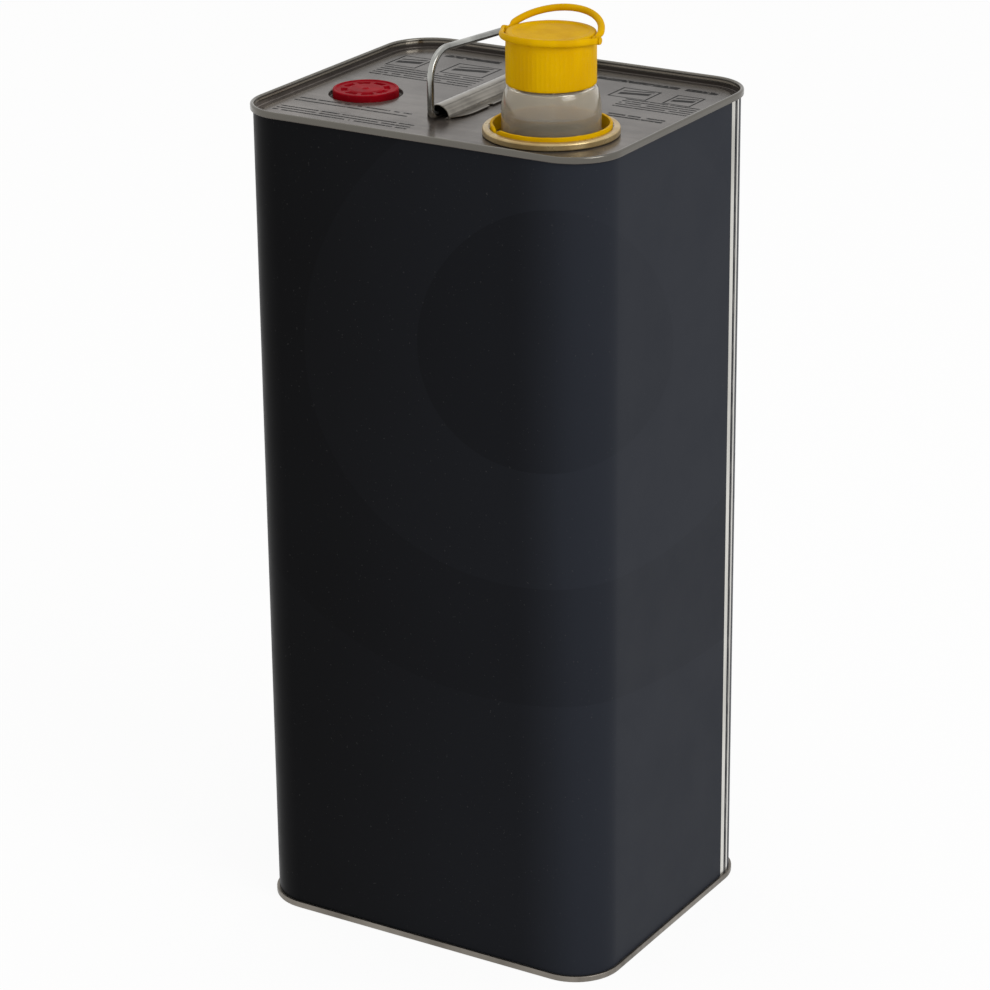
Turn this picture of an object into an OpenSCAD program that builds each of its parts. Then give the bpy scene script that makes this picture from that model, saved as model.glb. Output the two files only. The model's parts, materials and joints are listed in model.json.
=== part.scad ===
// Rectangular tinplate oil can with a pull-up pour spout, a vent plug and a wire handle.
// Millimetres, +Z up, origin on the ground at the middle of the base.

/* [Can] */
// Width of the can across its seams
can_w = 187.4; // [170:0.1:240]
// Depth of the can across its seams
can_d = 153; // [140:0.1:200]
// Height of the can from rim to rim
can_h = 395; // [250:1:450]
// Corner radius of the seams
corner_r = 23.3; // [14:0.1:34]
// Thickness of the body plate
body_t = 0.24; // [0.2:0.01:0.28]
// Thickness of the end plates
end_t = 0.24; // [0.2:0.01:0.28]
// Height of the double seams
seam_h = 3.1; // [2.9:0.05:3.6]
// Slack that the seams' outermost fold takes up
seam_slack = 0.6; // [0:0.05:0.8]
// Rounding of the outer edges of the seams
seam_edge_r = 0.4; // [0.2:0.05:0.5]
// Length of the hooks inside the seams
hook_len = 1.8; // [1.2:0.1:2]
// Thickness of the sealing compound in the seams
compound_t = 0.2; // [0.1:0.05:0.3]
// Depth of the end panels below their rims
countersink = 4; // [3.8:0.1:6]
// Width of the channel round the end panels
channel_w = 3.6; // [2.5:0.1:5]
// Depth of the channel below the panel
channel_drop = 0.6; // [0.3:0.05:1]
// Bend radius at the foot of the chuck wall
channel_r = 0.5; // [0.3:0.05:0.8]

/* [Side seam] */
// Distance of the side seam from the middle plane of the can, along Y
side_seam_y = 54.6; // [10:0.1:58]
// Width of the welded lap
side_seam_w = 1.5; // [0.8:0.1:3]
// Height of the lap above the wall
side_seam_t = 0.15; // [0.08:0.01:0.3]

/* [Handle] */
// Distance of the handle's barrel from the middle of the can, along X
handle_x = -9; // [-14:0.5:-6]
// Length of the bracket's barrel
barrel_len = 73; // [60:1:80]
// Outer diameter of the barrel
barrel_d = 6.2; // [6.2:0.1:8]
// Plate thickness of the bracket
bracket_t = 0.5; // [0.4:0.05:0.6]
// Reach of the bracket's foot from the barrel's axis
foot_reach = 10.2; // [8:0.1:12]
// Height of the foot above the panel
foot_lift = 0.5; // [0.3:0.05:0.8]
// Radius of the foot's end corners
foot_corner_r = 8; // [4:0.5:9]
// Distance of the foot's notches from its middle
notch_y = 7.8; // [5:0.1:12]
// Radius of the foot's notches
notch_r = 1.7; // [1:0.1:2.5]
// Radius of the weld spots under the foot
weld_r = 1.6; // [1:0.1:2.5]
// Diameter of the handle wire
wire_d = 3.2; // [2.8:0.1:3.6]
// Clearance between the wire and the barrel's floor
wire_gap = 0.05; // [0.02:0.01:0.1]
// Length of wire inside each end of the barrel
wire_tail = 18; // [10:1:25]
// Distance between the handle's legs
leg_span = 85; // [84:1:95]
// Height of the grip bar above the pivot
grip_h = 28.3; // [24:0.1:36]
// Bend radius of the upper corners
grip_bend_r = 13; // [8:0.5:15]
// Bend radius at the feet of the legs
foot_bend_r = 3.5; // [3:0.1:4]

/* [Spout base] */
// Place of the spout along X
spout_x = 47; // [44:0.5:52]
// Place of the spout along Y
spout_y = -33; // [-36:0.5:-28]
// Inner radius of the panel's upturned neck
opening_r = 28.3; // [27.5:0.1:29]
// Height of the neck's bead above the panel
bead_h = 2.25; // [2.25:0.05:3]
// Width of the bead outside the neck
bead_w = 1.2; // [0.9:0.05:1.4]
// Thickness of the bead
bead_t = 1.5; // [0.8:0.05:1.5]
// Thickness of the spout gasket
gasket_t = 0.5; // [0.3:0.05:0.8]
// Thickness of the spout's clamped flange
flange_t = 0.5; // [0.4:0.05:0.8]
// Plate thickness of the crimped collar
collar_t = 0.35; // [0.25:0.05:0.45]
// Clearance between the collar and the bead
collar_gap = 0.2; // [0.1:0.05:0.3]
// Wall of the spout's base
base_wall = 1.2; // [0.8:0.05:1.5]
// Depth of the base's floor below the panel
base_sink = 1; // [0.5:0.1:3]
// Clearance between the base and the panel's neck
base_gap = 0.1; // [0.05:0.01:0.2]
// Height of the tamper band above the panel
band_h = 5.3; // [4.6:0.1:7]
// Wall of the tamper band
band_wall = 1.4; // [1:0.1:1.5]
// Clearance between the tamper band and the base
band_gap = 0.2; // [0.1:0.05:0.3]
// Width of the break in the tamper band
break_w = 3; // [1:0.5:6]
// Direction of the break in the tamper band, in degrees
break_angle = 234; // [0:1:359]

/* [Spout] */
// Wall of the flexible sleeve
sleeve_wall = 1.1; // [0.8:0.05:1.3]
// Clearance between the cap and the sleeve that it sinks into
sleeve_gap = 0.8; // [0.4:0.05:0.9]
// Height of the sleeve's straight wall
sleeve_straight = 11; // [8:0.5:16]
// Height of the sleeve's curved shoulder
shoulder_h = 12; // [9:0.5:14]
// How far the shoulder leans in
shoulder_in = 2.1; // [1.5:0.1:2.4]
// Clearance between the sleeve's lip and the neck's flange
lip_gap = 0.2; // [0.1:0.05:0.3]
// Outer radius of the pouring neck
neck_r = 17; // [16.6:0.05:17.2]
// Wall of the pouring neck
neck_wall = 1.8; // [1.4:0.1:2.2]
// Width of the neck's lower flange outside the neck
neck_flange_w = 1; // [0.6:0.1:1.4]
// Pitch of the cap's thread
pitch = 3; // [2.8:0.1:4]
// Height of the thread ridges
thread_h = 0.9; // [0.6:0.05:0.9]
// Turns of thread
thread_turns = 1.5; // [1:0.25:2.5]
// Distance of the thread's upper end below the neck's rim
thread_top = 3; // [2.5:0.1:5]
// Thickness of the tear-out membrane
membrane_t = 0.6; // [0.4:0.05:1]
// Centre-line radius of the membrane's pull ring
pull_ring_r = 6.5; // [5:0.1:7.5]
// Rod diameter of the pull ring
pull_rod_d = 1.4; // [1:0.1:1.8]

/* [Cap] */
// Outer radius of the cap without its ribs
cap_r = 19.8; // [19.8:0.05:20.2]
// Height of the cap
cap_h = 22.8; // [21.5:0.1:26]
// Wall of the cap
cap_wall = 1.4; // [1.2:0.05:1.5]
// Thickness of the cap's top
cap_top_t = 1.6; // [1.2:0.1:2]
// Rounding of the cap's top edge
cap_edge_r = 0.7; // [0.3:0.1:1]
// Gap between the cap's lower edge and the shoulder
cap_gap = 0.5; // [0.3:0.05:1]
// Number of grip ribs
rib_count = 60; // [24:2:72]
// Width of a grip rib
rib_w = 0.7; // [0.4:0.05:0.9]
// Height of a grip rib
rib_h = 0.2; // [0.1:0.05:0.3]
// Distance of the ribs from the cap's top
rib_top = 6; // [4:0.5:9]
// Thickness of the cap's liner
liner_t = 1; // [0.6:0.1:1.5]
// Clearance between the liner and the parts that it lies between
liner_gap = 0.1; // [0.05:0.01:0.2]
// Rod diameter of the pull bails
bail_d = 3.1; // [2.6:0.1:3.2]
// Clearance between the bails and the cap
bail_gap = 0.45; // [0.35:0.05:0.6]
// Depth of the bail hinge below the cap's top
bail_drop = 1.9; // [1.6:0.05:2.4]
// Direction of the bail hinge, in degrees
bail_angle = 2; // [-45:1:45]
// Angle to which the rear bail is raised
bail_raised = 20; // [0:1:40]
// Angle to which the front bail is raised
bail_front_raised = 4; // [0:1:20]
// Radius of the hinge pins
pin_r = 0.9; // [0.7:0.05:1]
// Running clearance round the hinge pins
pin_gap = 0.08; // [0.03:0.01:0.1]
// Outer radius of the hinge eyes
eye_r = 1.8; // [1.6:0.05:2]
// Side clearance between the hinge eyes
eye_gap = 0.2; // [0.15:0.05:0.3]
// Height of the end stop on a hinge pin, outside the eyes
pin_head_w = 0.4; // [0.3:0.05:0.6]

/* [Vent] */
// Place of the vent along X
vent_x = -61; // [-64:0.5:-56]
// Place of the vent along Y
vent_y = -15.5; // [-25:0.5:10]
// Radius of the recess round the vent
recess_r = 16.9; // [16.7:0.1:18]
// Depth of the recess
recess_h = 2.4; // [2:0.1:3]
// Inner radius of the vent's neck
vent_r = 11.6; // [10.5:0.1:11.7]
// Height of the vent's neck above the panel
vent_neck_h = 0.1; // [0:0.05:1.2]
// Width of the bead outside the vent's neck
vent_bead_w = 0.9; // [0.6:0.05:0.95]
// Thickness of the vent gasket
vent_gasket_t = 0.4; // [0.3:0.05:0.6]
// Outer radius of the vent plug
plug_r = 15.1; // [15:0.05:15.6]
// Thickness of the plug's top
plug_t = 2; // [1.6:0.1:2.4]
// Clearance between the plug's skirts and the neck
plug_gap = 0.3; // [0.2:0.05:0.4]
// Wall of the plug's inner skirt
plug_wall = 1.1; // [0.8:0.05:1.3]
// Length of the plug's inner skirt below its top
plug_skirt = 6; // [4:0.5:8]
// Gap between the plug's outer skirt and the recess's floor
plug_foot_gap = 0.4; // [0.2:0.05:0.6]
// Width of the plug's raised rim
plug_rim_w = 1.6; // [1.2:0.1:2]
// Height of the plug's raised rim
plug_rim_h = 0.4; // [0.2:0.05:0.6]
// Number of pockets in the plug's top
pocket_count = 8; // [6:1:12]
// Width of the pockets
pocket_w = 2.6; // [2:0.1:3]
// Depth of the pockets
pocket_h = 0.9; // [0.5:0.1:1.2]
// Radius of the middle of the pockets
pocket_r = 9.8; // [9:0.1:10]
// Radius of the pip in the middle of the plug
pip_r = 1.3; // [0.8:0.1:2]

/* [Hidden] */
$fn = 48;
cut = 0.5;                      // how far a cutting tool runs past a face
// Can
seam_out = body_t + 2 * end_t + seam_slack; // how far a seam stands out of the wall
wall_w = can_w - 2 * seam_out;
wall_d = can_d - 2 * seam_out;
wall_r = corner_r - seam_out;
fold_z = end_t + compound_t;    // depth of the body's fold below the rim
panel_z = can_h - countersink;  // upper face of the top panel
// Handle
barrel_r = barrel_d / 2;
bore_r = barrel_r - bracket_t;
barrel_lift = 0.2;
barrel_z = panel_z + barrel_lift + barrel_r;
wire_r = wire_d / 2;
pivot_z = barrel_z - bore_r + wire_r + wire_gap;
leg_y = leg_span / 2;
// Spout base
neck_out_r = opening_r + end_t;
bead_out_r = neck_out_r + bead_w;
bead_z = panel_z + bead_h;
gasket_z = bead_z + gasket_t;
flange_z = gasket_z + flange_t;
collar_z = flange_z + collar_t;
collar_r = bead_out_r + collar_gap + collar_t;
base_r = opening_r - base_gap;
base_in_r = base_r - base_wall;
base_z = panel_z - base_sink;
band_r = base_in_r - band_gap;
band_in_r = band_r - band_wall;
// Spout
sleeve_in_r = cap_r + rib_h + sleeve_gap;
sleeve_r = sleeve_in_r + sleeve_wall;
shoulder_z = base_z + sleeve_straight;
lip_z = shoulder_z + shoulder_h + 0.5;
shoulder_r = (shoulder_h * shoulder_h + shoulder_in * shoulder_in) / (2 * shoulder_in);
shoulder_arc = asin(shoulder_h / shoulder_r);
neck_flange_r = neck_r + neck_flange_w;
neck_in_r = neck_r - neck_wall;
neck_z = lip_z - sleeve_wall;
cap_z = lip_z + cap_gap;
cap_top_z = cap_z + cap_h;
liner_z = cap_top_z - cap_top_t - liner_gap - liner_t;
neck_top_z = liner_z - liner_gap;
cap_in_r = cap_r - cap_wall;
thread_z = neck_top_z - thread_top;
thread_sink = 0.2;              // how far a thread ridge is rooted in its wall
membrane_z = neck_z + membrane_t;
ring_z = membrane_z + pull_rod_d / 2 + 0.3;
ring_hinge_x = -pull_ring_r - pull_rod_d / 2 - 0.3;
// Bails
bail_z = cap_top_z - bail_drop;
bail_ring_r = cap_r + rib_h + bail_gap + bail_d / 2;
eye_w = (bail_d - eye_gap) / 2; // each bail's eye takes half of the pin
eye_rear_x = bail_ring_r - bail_d / 2;
eye_front_x = eye_rear_x + eye_w + eye_gap;
bail_start = 11;                // degrees from the hinge to the round rod's end
// Vent
vent_neck_r = vent_r + end_t;
vent_bead_r = vent_neck_r + vent_bead_w;
vent_rim_z = panel_z + vent_neck_h;
recess_z = panel_z - recess_h;
plug_z = vent_rim_z + vent_gasket_t;
plug_skirt_r = vent_r - plug_gap;
plug_top_z = plug_z + plug_t;

// Points of an arc about (x, y), from angle a to angle b, in n steps
function arc(x, y, r, a, b, n) = [
    for (i = [0 : n]) let (t = a + (b - a) * i / n) [x + r * cos(t), y + r * sin(t)]];

// ---- Shapes shared by the can's pieces ----

// Outline of a rectangle with round corners
module rounded_rect(w, d, r) {
    square([w - 2 * r, d], center = true);
    square([w, d - 2 * r], center = true);
    for (sx = [-1, 1], sy = [-1, 1]) translate([sx * (w / 2 - r), sy * (d / 2 - r)]) circle(r);
}

// The wall's outline, moved outwards by u
module wall_outline(u) {
    rounded_rect(wall_w + 2 * u, wall_d + 2 * u, wall_r + u);
}

// A band that follows the wall, from u0 to u1 outwards and from z0 to z1
module wall_band(u0, u1, z0, z1) {
    translate([0, 0, z0]) linear_extrude(z1 - z0) difference() {
        wall_outline(u1);
        wall_outline(u0);
    }
}

// Carries a profile round the wall: its x is the distance outwards from the corner's centre
module around_wall() {
    cx = wall_w / 2 - wall_r;
    cy = wall_d / 2 - wall_r;
    for (side = [0, 180]) rotate([0, 0, side]) {
        translate([cx, cy, 0]) rotate([90, 0, 0]) linear_extrude(2 * cy) children();
        translate([cx, cy, 0]) rotate_extrude(angle = 90) children();
        rotate([0, 0, 90]) translate([cy, cx, 0]) rotate([90, 0, 0]) linear_extrude(2 * cx) children();
        rotate([0, 0, 90]) translate([cy, cx, 0]) rotate_extrude(angle = 90) children();
    }
}

// Section of an end at its seam and channel, with the rim's top at y = 0
module end_section() {
    r_in = wall_r - body_t - end_t;
    r_out = wall_r + seam_out;
    drop = countersink + channel_drop;
    difference() {
        union() {
            polygon(concat(
                arc(r_out - seam_edge_r, -seam_edge_r, seam_edge_r, 0, 90, 4),
                arc(r_in + seam_edge_r, -seam_edge_r, seam_edge_r, 90, 180, 4),
                [[r_in, -seam_h]],
                arc(r_out - seam_edge_r, -seam_h + seam_edge_r, seam_edge_r, -90, 0, 4)));
            polygon(concat(
                [[r_in + end_t, -seam_h + cut], [r_in, -seam_h + cut]],
                arc(r_in - channel_r, -drop + channel_r, channel_r, 0, -90, 4),
                arc(r_in - channel_w + channel_r, -drop + channel_r, channel_r, -90, -180, 4),
                [[r_in - channel_w, -countersink], [r_in - channel_w - cut, -countersink],
                    [r_in - channel_w - cut, -countersink - end_t],
                    [r_in - channel_w - end_t, -countersink - end_t]],
                arc(r_in - channel_w + channel_r, -drop + channel_r, channel_r + end_t, -180, -90, 4),
                arc(r_in - channel_r, -drop + channel_r, channel_r + end_t, -90, 0, 4)));
        }
        translate([wall_r - body_t, -seam_h - cut]) square([body_t, seam_h + cut - end_t]);
        translate([wall_r - body_t, -fold_z - body_t]) square([end_t + 2 * body_t, compound_t + body_t]);
        translate([wall_r + end_t, -fold_z - hook_len]) square([body_t, compound_t + hook_len]);
    }
}

// A whole end with its flat panel, rim up
module end_plate() {
    around_wall() end_section();
    panel_u = -body_t - end_t - channel_w;
    translate([0, 0, -countersink - end_t]) linear_extrude(end_t) wall_outline(panel_u);
}

// Ring of sealing compound on the body's fold, below the rim
module seam_compound() {
    wall_band(-body_t, body_t + end_t, -fold_z, -end_t);
}

// Outward hook at the body's mouth, below the rim
module body_hook() {
    wall_band(-body_t, body_t + end_t, -fold_z - body_t, -fold_z);
    wall_band(end_t, end_t + body_t, -fold_z - hook_len, -fold_z);
}

// ---- Can ----

module can_body() {
    color("#1b1c20") {
        wall_band(-body_t, 0, fold_z, can_h - fold_z);
        translate([0, 0, can_h]) body_hook();
        mirror([0, 0, 1]) body_hook();
    }
}

module side_seam() {
    color("#3a3b40") intersection() {
        wall_band(0, side_seam_t, seam_h, can_h - seam_h);
        translate([0, side_seam_y - side_seam_w / 2, 0]) cube([can_w, side_seam_w, can_h]);
    }
}

module top_end() {
    color("#8f8a85") {
        difference() {
            translate([0, 0, can_h]) end_plate();
            translate([spout_x, spout_y, panel_z - cut - end_t])
                cylinder(r = opening_r, h = 2 * cut + end_t);
            translate([vent_x, vent_y, panel_z - cut - end_t])
                cylinder(r = recess_r, h = 2 * cut + end_t);
        }
        translate([spout_x, spout_y, panel_z]) spout_neck_bead();
        translate([vent_x, vent_y, 0]) vent_seat();
    }
}

// The panel's neck at the spout: a wall with a bead turned outwards at its top
module spout_neck_bead() {
    difference() {
        union() {
            translate([0, 0, -end_t]) cylinder(r = neck_out_r, h = bead_h + end_t);
            translate([0, 0, bead_h - bead_t]) cylinder(r = bead_out_r, h = bead_t);
        }
        translate([0, 0, -end_t - cut]) cylinder(r = opening_r, h = bead_h + end_t + 2 * cut);
    }
}

// The vent's recess and upturned neck, drawn out of the panel
module vent_seat() {
    rotate_extrude() {
        translate([recess_r - end_t, recess_z - end_t]) square([2 * end_t, recess_h + end_t]);
        translate([vent_r, recess_z - end_t]) square([recess_r - vent_r, end_t]);
        translate([vent_r, recess_z - end_t]) square([end_t, vent_rim_z - recess_z + end_t]);
        translate([vent_r, vent_rim_z - vent_bead_w]) square([vent_bead_r - vent_r, vent_bead_w]);
    }
}

module bottom_end() {
    color("#8a857d") mirror([0, 0, 1]) end_plate();
}

module top_seam_compound() {
    color("#b9b4a4") translate([0, 0, can_h]) seam_compound();
}

module bottom_seam_compound() {
    color("#b9b4a4") mirror([0, 0, 1]) seam_compound();
}

// ---- Handle ----

// Outline of the bracket's foot: round outer corners and two notches in its edge
module foot_outline() {
    difference() {
        union() {
            translate([0, -barrel_len / 2 + foot_corner_r])
                square([foot_reach, barrel_len - 2 * foot_corner_r]);
            translate([0, -barrel_len / 2]) square([foot_reach - foot_corner_r, barrel_len]);
            for (s = [-1, 1]) translate([foot_reach - foot_corner_r, s * (barrel_len / 2 - foot_corner_r)])
                circle(foot_corner_r);
        }
        for (s = [-1, 1]) translate([foot_reach, s * notch_y]) circle(notch_r);
    }
}

module handle_bracket() {
    weld_y = (barrel_len / 2 + notch_y) / 2;
    color("#a9a49c") translate([handle_x, 0, 0]) {
        difference() {
            union() {
                translate([0, barrel_len / 2, barrel_z]) rotate([90, 0, 0])
                    cylinder(r = barrel_r, h = barrel_len);
                translate([0, 0, panel_z + foot_lift]) linear_extrude(bracket_t) foot_outline();
            }
            translate([0, barrel_len / 2 + cut, barrel_z]) rotate([90, 0, 0])
                cylinder(r = bore_r, h = barrel_len + 2 * cut);
        }
        for (y = [-weld_y, 0, weld_y]) translate([foot_reach - 2 * notch_r - weld_r, y, panel_z])
            cylinder(r = weld_r, h = foot_lift);
    }
}

// A quarter bend of wire about the X axis direction, from +Y round to +Z
module wire_bend(r) {
    rotate([90, 0, 90]) rotate_extrude(angle = 90) translate([r, 0]) circle(wire_r);
}

module wire_handle() {
    tail_y = barrel_len / 2 - wire_tail;
    foot_y = leg_y - foot_bend_r;
    bend_y = leg_y - grip_bend_r;
    color("#b5b7b6") translate([handle_x, 0, pivot_z]) {
        for (s = [0, 1]) mirror([0, s, 0]) {
            translate([0, tail_y, 0]) rotate([-90, 0, 0]) cylinder(r = wire_r, h = foot_y - tail_y);
            translate([0, foot_y, foot_bend_r]) mirror([0, 0, 1]) wire_bend(foot_bend_r);
            translate([0, leg_y, foot_bend_r]) cylinder(r = wire_r, h = grip_h - grip_bend_r - foot_bend_r);
            translate([0, bend_y, grip_h - grip_bend_r]) wire_bend(grip_bend_r);
        }
        translate([0, bend_y, grip_h]) rotate([90, 0, 0]) cylinder(r = wire_r, h = 2 * bend_y);
    }
}

// ---- Spout base ----

module spout_collar() {
    edge = 2 * collar_t;
    low_z = bead_z - bead_t - collar_gap - collar_t;
    top_in_r = base_in_r + collar_t;
    color("#b9a57c") translate([spout_x, spout_y, 0]) rotate_extrude() polygon(concat(
        [[neck_out_r + collar_gap, low_z]],
        arc(collar_r - collar_t, low_z + collar_t, collar_t, -90, 0, 4),
        arc(collar_r - edge, collar_z - edge, edge, 0, 90, 6),
        [[top_in_r, collar_z], [top_in_r, flange_z]],
        arc(collar_r - edge, collar_z - edge, edge - collar_t, 90, 0, 4),
        [[collar_r - collar_t, low_z + collar_t], [neck_out_r + collar_gap, low_z + collar_t]]));
}

module spout_gasket() {
    color("#d8d4c6") translate([spout_x, spout_y, bead_z]) difference() {
        cylinder(r = bead_out_r, h = gasket_t);
        translate([0, 0, -cut]) cylinder(r = opening_r, h = gasket_t + 2 * cut);
    }
}

module spout_base() {
    color("#cfcabb") translate([spout_x, spout_y, 0]) difference() {
        union() {
            translate([0, 0, base_z - base_wall]) cylinder(r = base_r, h = flange_z - base_z + base_wall);
            translate([0, 0, gasket_z]) cylinder(r = bead_out_r - collar_t, h = flange_t);
        }
        translate([0, 0, base_z]) cylinder(r = base_in_r, h = flange_z);
        translate([0, 0, base_z - base_wall - cut]) cylinder(r = sleeve_in_r, h = 2 * cut + base_wall);
    }
}

module tamper_band() {
    color("#f2b705") translate([spout_x, spout_y, base_z]) difference() {
        cylinder(r = band_r, h = band_h + base_sink);
        translate([0, 0, -cut]) cylinder(r = band_in_r, h = band_h + base_sink + 2 * cut);
        rotate([0, 0, break_angle]) translate([0, -break_w / 2, -cut])
            cube([2 * band_r, break_w, band_h + base_sink + 2 * cut]);
    }
}

// ---- Spout ----

module spout_sleeve() {
    axis_r = sleeve_r - shoulder_r;
    top_r = sleeve_r - shoulder_in;
    in_arc_r = shoulder_r - sleeve_wall;
    lip_r = neck_flange_r + lip_gap;
    color("#d9d5c9") translate([spout_x, spout_y, 0]) rotate_extrude() polygon(concat(
        [[sleeve_in_r, base_z], [sleeve_r, base_z]],
        arc(axis_r, shoulder_z, shoulder_r, 0, shoulder_arc, 8),
        [[top_r - 0.5, lip_z], [lip_r, lip_z], [lip_r, lip_z - sleeve_wall]],
        arc(axis_r, shoulder_z, in_arc_r, shoulder_arc, 0, 8)));
}

// Section i of a thread ridge that rises by one pitch a turn; its root lies at r, its crest at crest_r
function ridge_section(i, steps, r, crest_r) =
    let (a = 360 * i / steps, z = pitch * i / steps, root_w = pitch * 0.27, crest_w = pitch * 0.14)
    [[r * cos(a), r * sin(a), z - root_w], [crest_r * cos(a), crest_r * sin(a), z - crest_w],
        [crest_r * cos(a), crest_r * sin(a), z + crest_w], [r * cos(a), r * sin(a), z + root_w]];

// A helical ridge, centred on z = 0 at its middle turn
module thread_ridge(r, crest_r) {
    steps = 24;
    n = round(steps * thread_turns);
    sections = [for (i = [0 : n]) ridge_section(i, steps, r, crest_r)];
    sides = [for (i = [0 : n - 1], j = [0 : 3]) let (a = 4 * i + j, b = 4 * i + (j + 1) % 4)
        each [[a, b, b + 4], [a, b + 4, a + 4]]];
    faces = concat([[3, 2, 1, 0]], sides, [[4 * n, 4 * n + 1, 4 * n + 2, 4 * n + 3]]);
    turned = [for (f = faces) [for (k = [len(f) - 1 : -1 : 0]) f[k]]];
    polyhedron([for (s = sections) each s], crest_r > r ? faces : turned);
}

module spout_neck() {
    color("#d9d5c9") translate([spout_x, spout_y, 0]) {
        difference() {
            union() {
                translate([0, 0, neck_z]) cylinder(r = neck_r, h = neck_top_z - neck_z);
                translate([0, 0, neck_z]) cylinder(r = neck_flange_r, h = sleeve_wall);
            }
            translate([0, 0, neck_z - cut]) cylinder(r = neck_in_r, h = neck_top_z - neck_z + 2 * cut);
        }
        translate([0, 0, thread_z - pitch * thread_turns])
            thread_ridge(neck_r - thread_sink, neck_r + thread_h);
    }
}

module neck_membrane() {
    color("#e4e0d4") translate([spout_x, spout_y, neck_z]) {
        cylinder(r = neck_in_r, h = membrane_t);
        translate([ring_hinge_x - pull_rod_d, 0, 0]) cylinder(r = pull_rod_d, h = ring_z - neck_z);
    }
}

module pull_ring() {
    color("#e4e0d4") translate([spout_x, spout_y, ring_z])
        rotate_extrude() translate([pull_ring_r, 0]) circle(pull_rod_d / 2);
}

// ---- Cap ----

module cap_liner() {
    color("#ece9df") translate([spout_x, spout_y, liner_z])
        cylinder(r = cap_in_r - 2 * liner_gap, h = liner_t);
}

module spout_cap() {
    pin_end = eye_front_x + eye_w + eye_gap;
    color("#f2b705") translate([spout_x, spout_y, 0]) {
        difference() {
            union() {
                rotate_extrude() polygon(concat([[0, cap_z], [cap_r, cap_z]],
                    arc(cap_r - cap_edge_r, cap_top_z - cap_edge_r, cap_edge_r, 0, 90, 5),
                    [[0, cap_top_z]]));
                for (i = [0 : rib_count - 1]) rotate([0, 0, 360 * i / rib_count])
                    translate([cap_r - cap_wall / 2, -rib_w / 2, cap_z])
                        cube([cap_wall / 2 + rib_h, rib_w, cap_h - rib_top]);
            }
            translate([0, 0, cap_z - cut]) cylinder(r = cap_in_r, h = cap_h - cap_top_t + cut);
        }
        translate([0, 0, thread_z - pitch * thread_turns - pitch / 2])
            thread_ridge(cap_in_r + thread_sink, cap_in_r - thread_h);
        translate([0, 0, bail_z]) rotate([0, 0, bail_angle]) for (s = [0, 180]) rotate([0, 0, s]) {
            translate([cap_r - cap_wall / 2, 0, 0]) rotate([0, 90, 0])
                cylinder(r = pin_r, h = pin_end - cap_r + cap_wall / 2);
            translate([pin_end, 0, 0]) rotate([0, 90, 0]) cylinder(r = eye_r - 2 * pin_gap, h = pin_head_w);
        }
    }
}

// A bail in its own frame: the hinge lies along X and the rod goes round on the +Y side
module bail(eye_x) {
    arm_y = bail_ring_r * sin(bail_start) + bail_d / 3;
    rotate([0, 0, bail_start]) rotate_extrude(angle = 180 - 2 * bail_start)
        translate([bail_ring_r, 0]) circle(bail_d / 2);
    for (s = [0, 1]) mirror([s, 0, 0]) difference() {
        union() {
            translate([eye_x, 0, 0]) rotate([0, 90, 0]) cylinder(r = eye_r, h = eye_w);
            translate([eye_x, 0, -bail_d / 4]) cube([eye_w, arm_y, bail_d / 2]);
        }
        translate([eye_x - cut, 0, 0]) rotate([0, 90, 0])
            cylinder(r = pin_r + pin_gap, h = eye_w + 2 * cut);
    }
}

module cap_bail_rear() {
    color("#f2b705") translate([spout_x, spout_y, bail_z]) rotate([0, 0, bail_angle])
        rotate([bail_raised, 0, 0]) bail(eye_rear_x);
}

module cap_bail_front() {
    color("#f2b705") translate([spout_x, spout_y, bail_z]) rotate([0, 0, bail_angle + 180])
        rotate([bail_front_raised, 0, 0]) bail(eye_front_x);
}

// ---- Vent ----

module vent_gasket() {
    color("#e8e4da") translate([vent_x, vent_y, vent_rim_z]) difference() {
        cylinder(r = vent_bead_r, h = vent_gasket_t);
        translate([0, 0, -cut]) cylinder(r = vent_r, h = vent_gasket_t + 2 * cut);
    }
}

module vent_plug() {
    skirt_in_r = vent_bead_r + plug_gap;
    foot_z = recess_z + plug_foot_gap;
    disc_r = pocket_r - pocket_w / 2 - 0.8;
    color("#b3121f") translate([vent_x, vent_y, 0]) {
        difference() {
            translate([0, 0, foot_z]) cylinder(r = plug_r, h = plug_top_z - foot_z);
            translate([0, 0, foot_z - cut]) cylinder(r = skirt_in_r, h = plug_z + liner_gap - foot_z + cut);
            translate([0, 0, plug_top_z - plug_rim_h])
                cylinder(r = plug_r - plug_rim_w, h = plug_rim_h + cut);
            for (i = [0 : pocket_count - 1]) rotate([0, 0, 360 * i / pocket_count])
                translate([0, 0, plug_top_z - plug_rim_h - pocket_h])
                    rotate_extrude(angle = 240 / pocket_count)
                        translate([pocket_r - pocket_w / 2, 0]) square([pocket_w, pocket_h + cut]);
        }
        difference() {
            translate([0, 0, plug_z + cut - plug_skirt]) cylinder(r = plug_skirt_r, h = plug_skirt);
            translate([0, 0, plug_z - plug_skirt - cut])
                cylinder(r = plug_skirt_r - plug_wall, h = plug_skirt + 3 * cut);
        }
        translate([0, 0, plug_top_z - plug_rim_h]) cylinder(r = disc_r, h = plug_rim_h / 2);
        translate([0, 0, plug_top_z - plug_rim_h]) cylinder(r = pip_r, h = plug_rim_h);
    }
}

can_body();
side_seam();
top_end();
bottom_end();
top_seam_compound();
bottom_seam_compound();
handle_bracket();
wire_handle();
spout_collar();
spout_gasket();
spout_base();
tamper_band();
spout_sleeve();
spout_neck();
neck_membrane();
pull_ring();
cap_liner();
spout_cap();
cap_bail_rear();
cap_bail_front();
vent_gasket();
vent_plug();
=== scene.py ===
"""Rectangular tinplate oil can with a pull-up pour spout: the looks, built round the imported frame.

Lengths are millimetres and angles are degrees, unless a name says otherwise. A Shell turns its points
into metres when it becomes a mesh. The ground is z = 0 and the front of the can faces -Y.
"""
from __future__ import annotations

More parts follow.
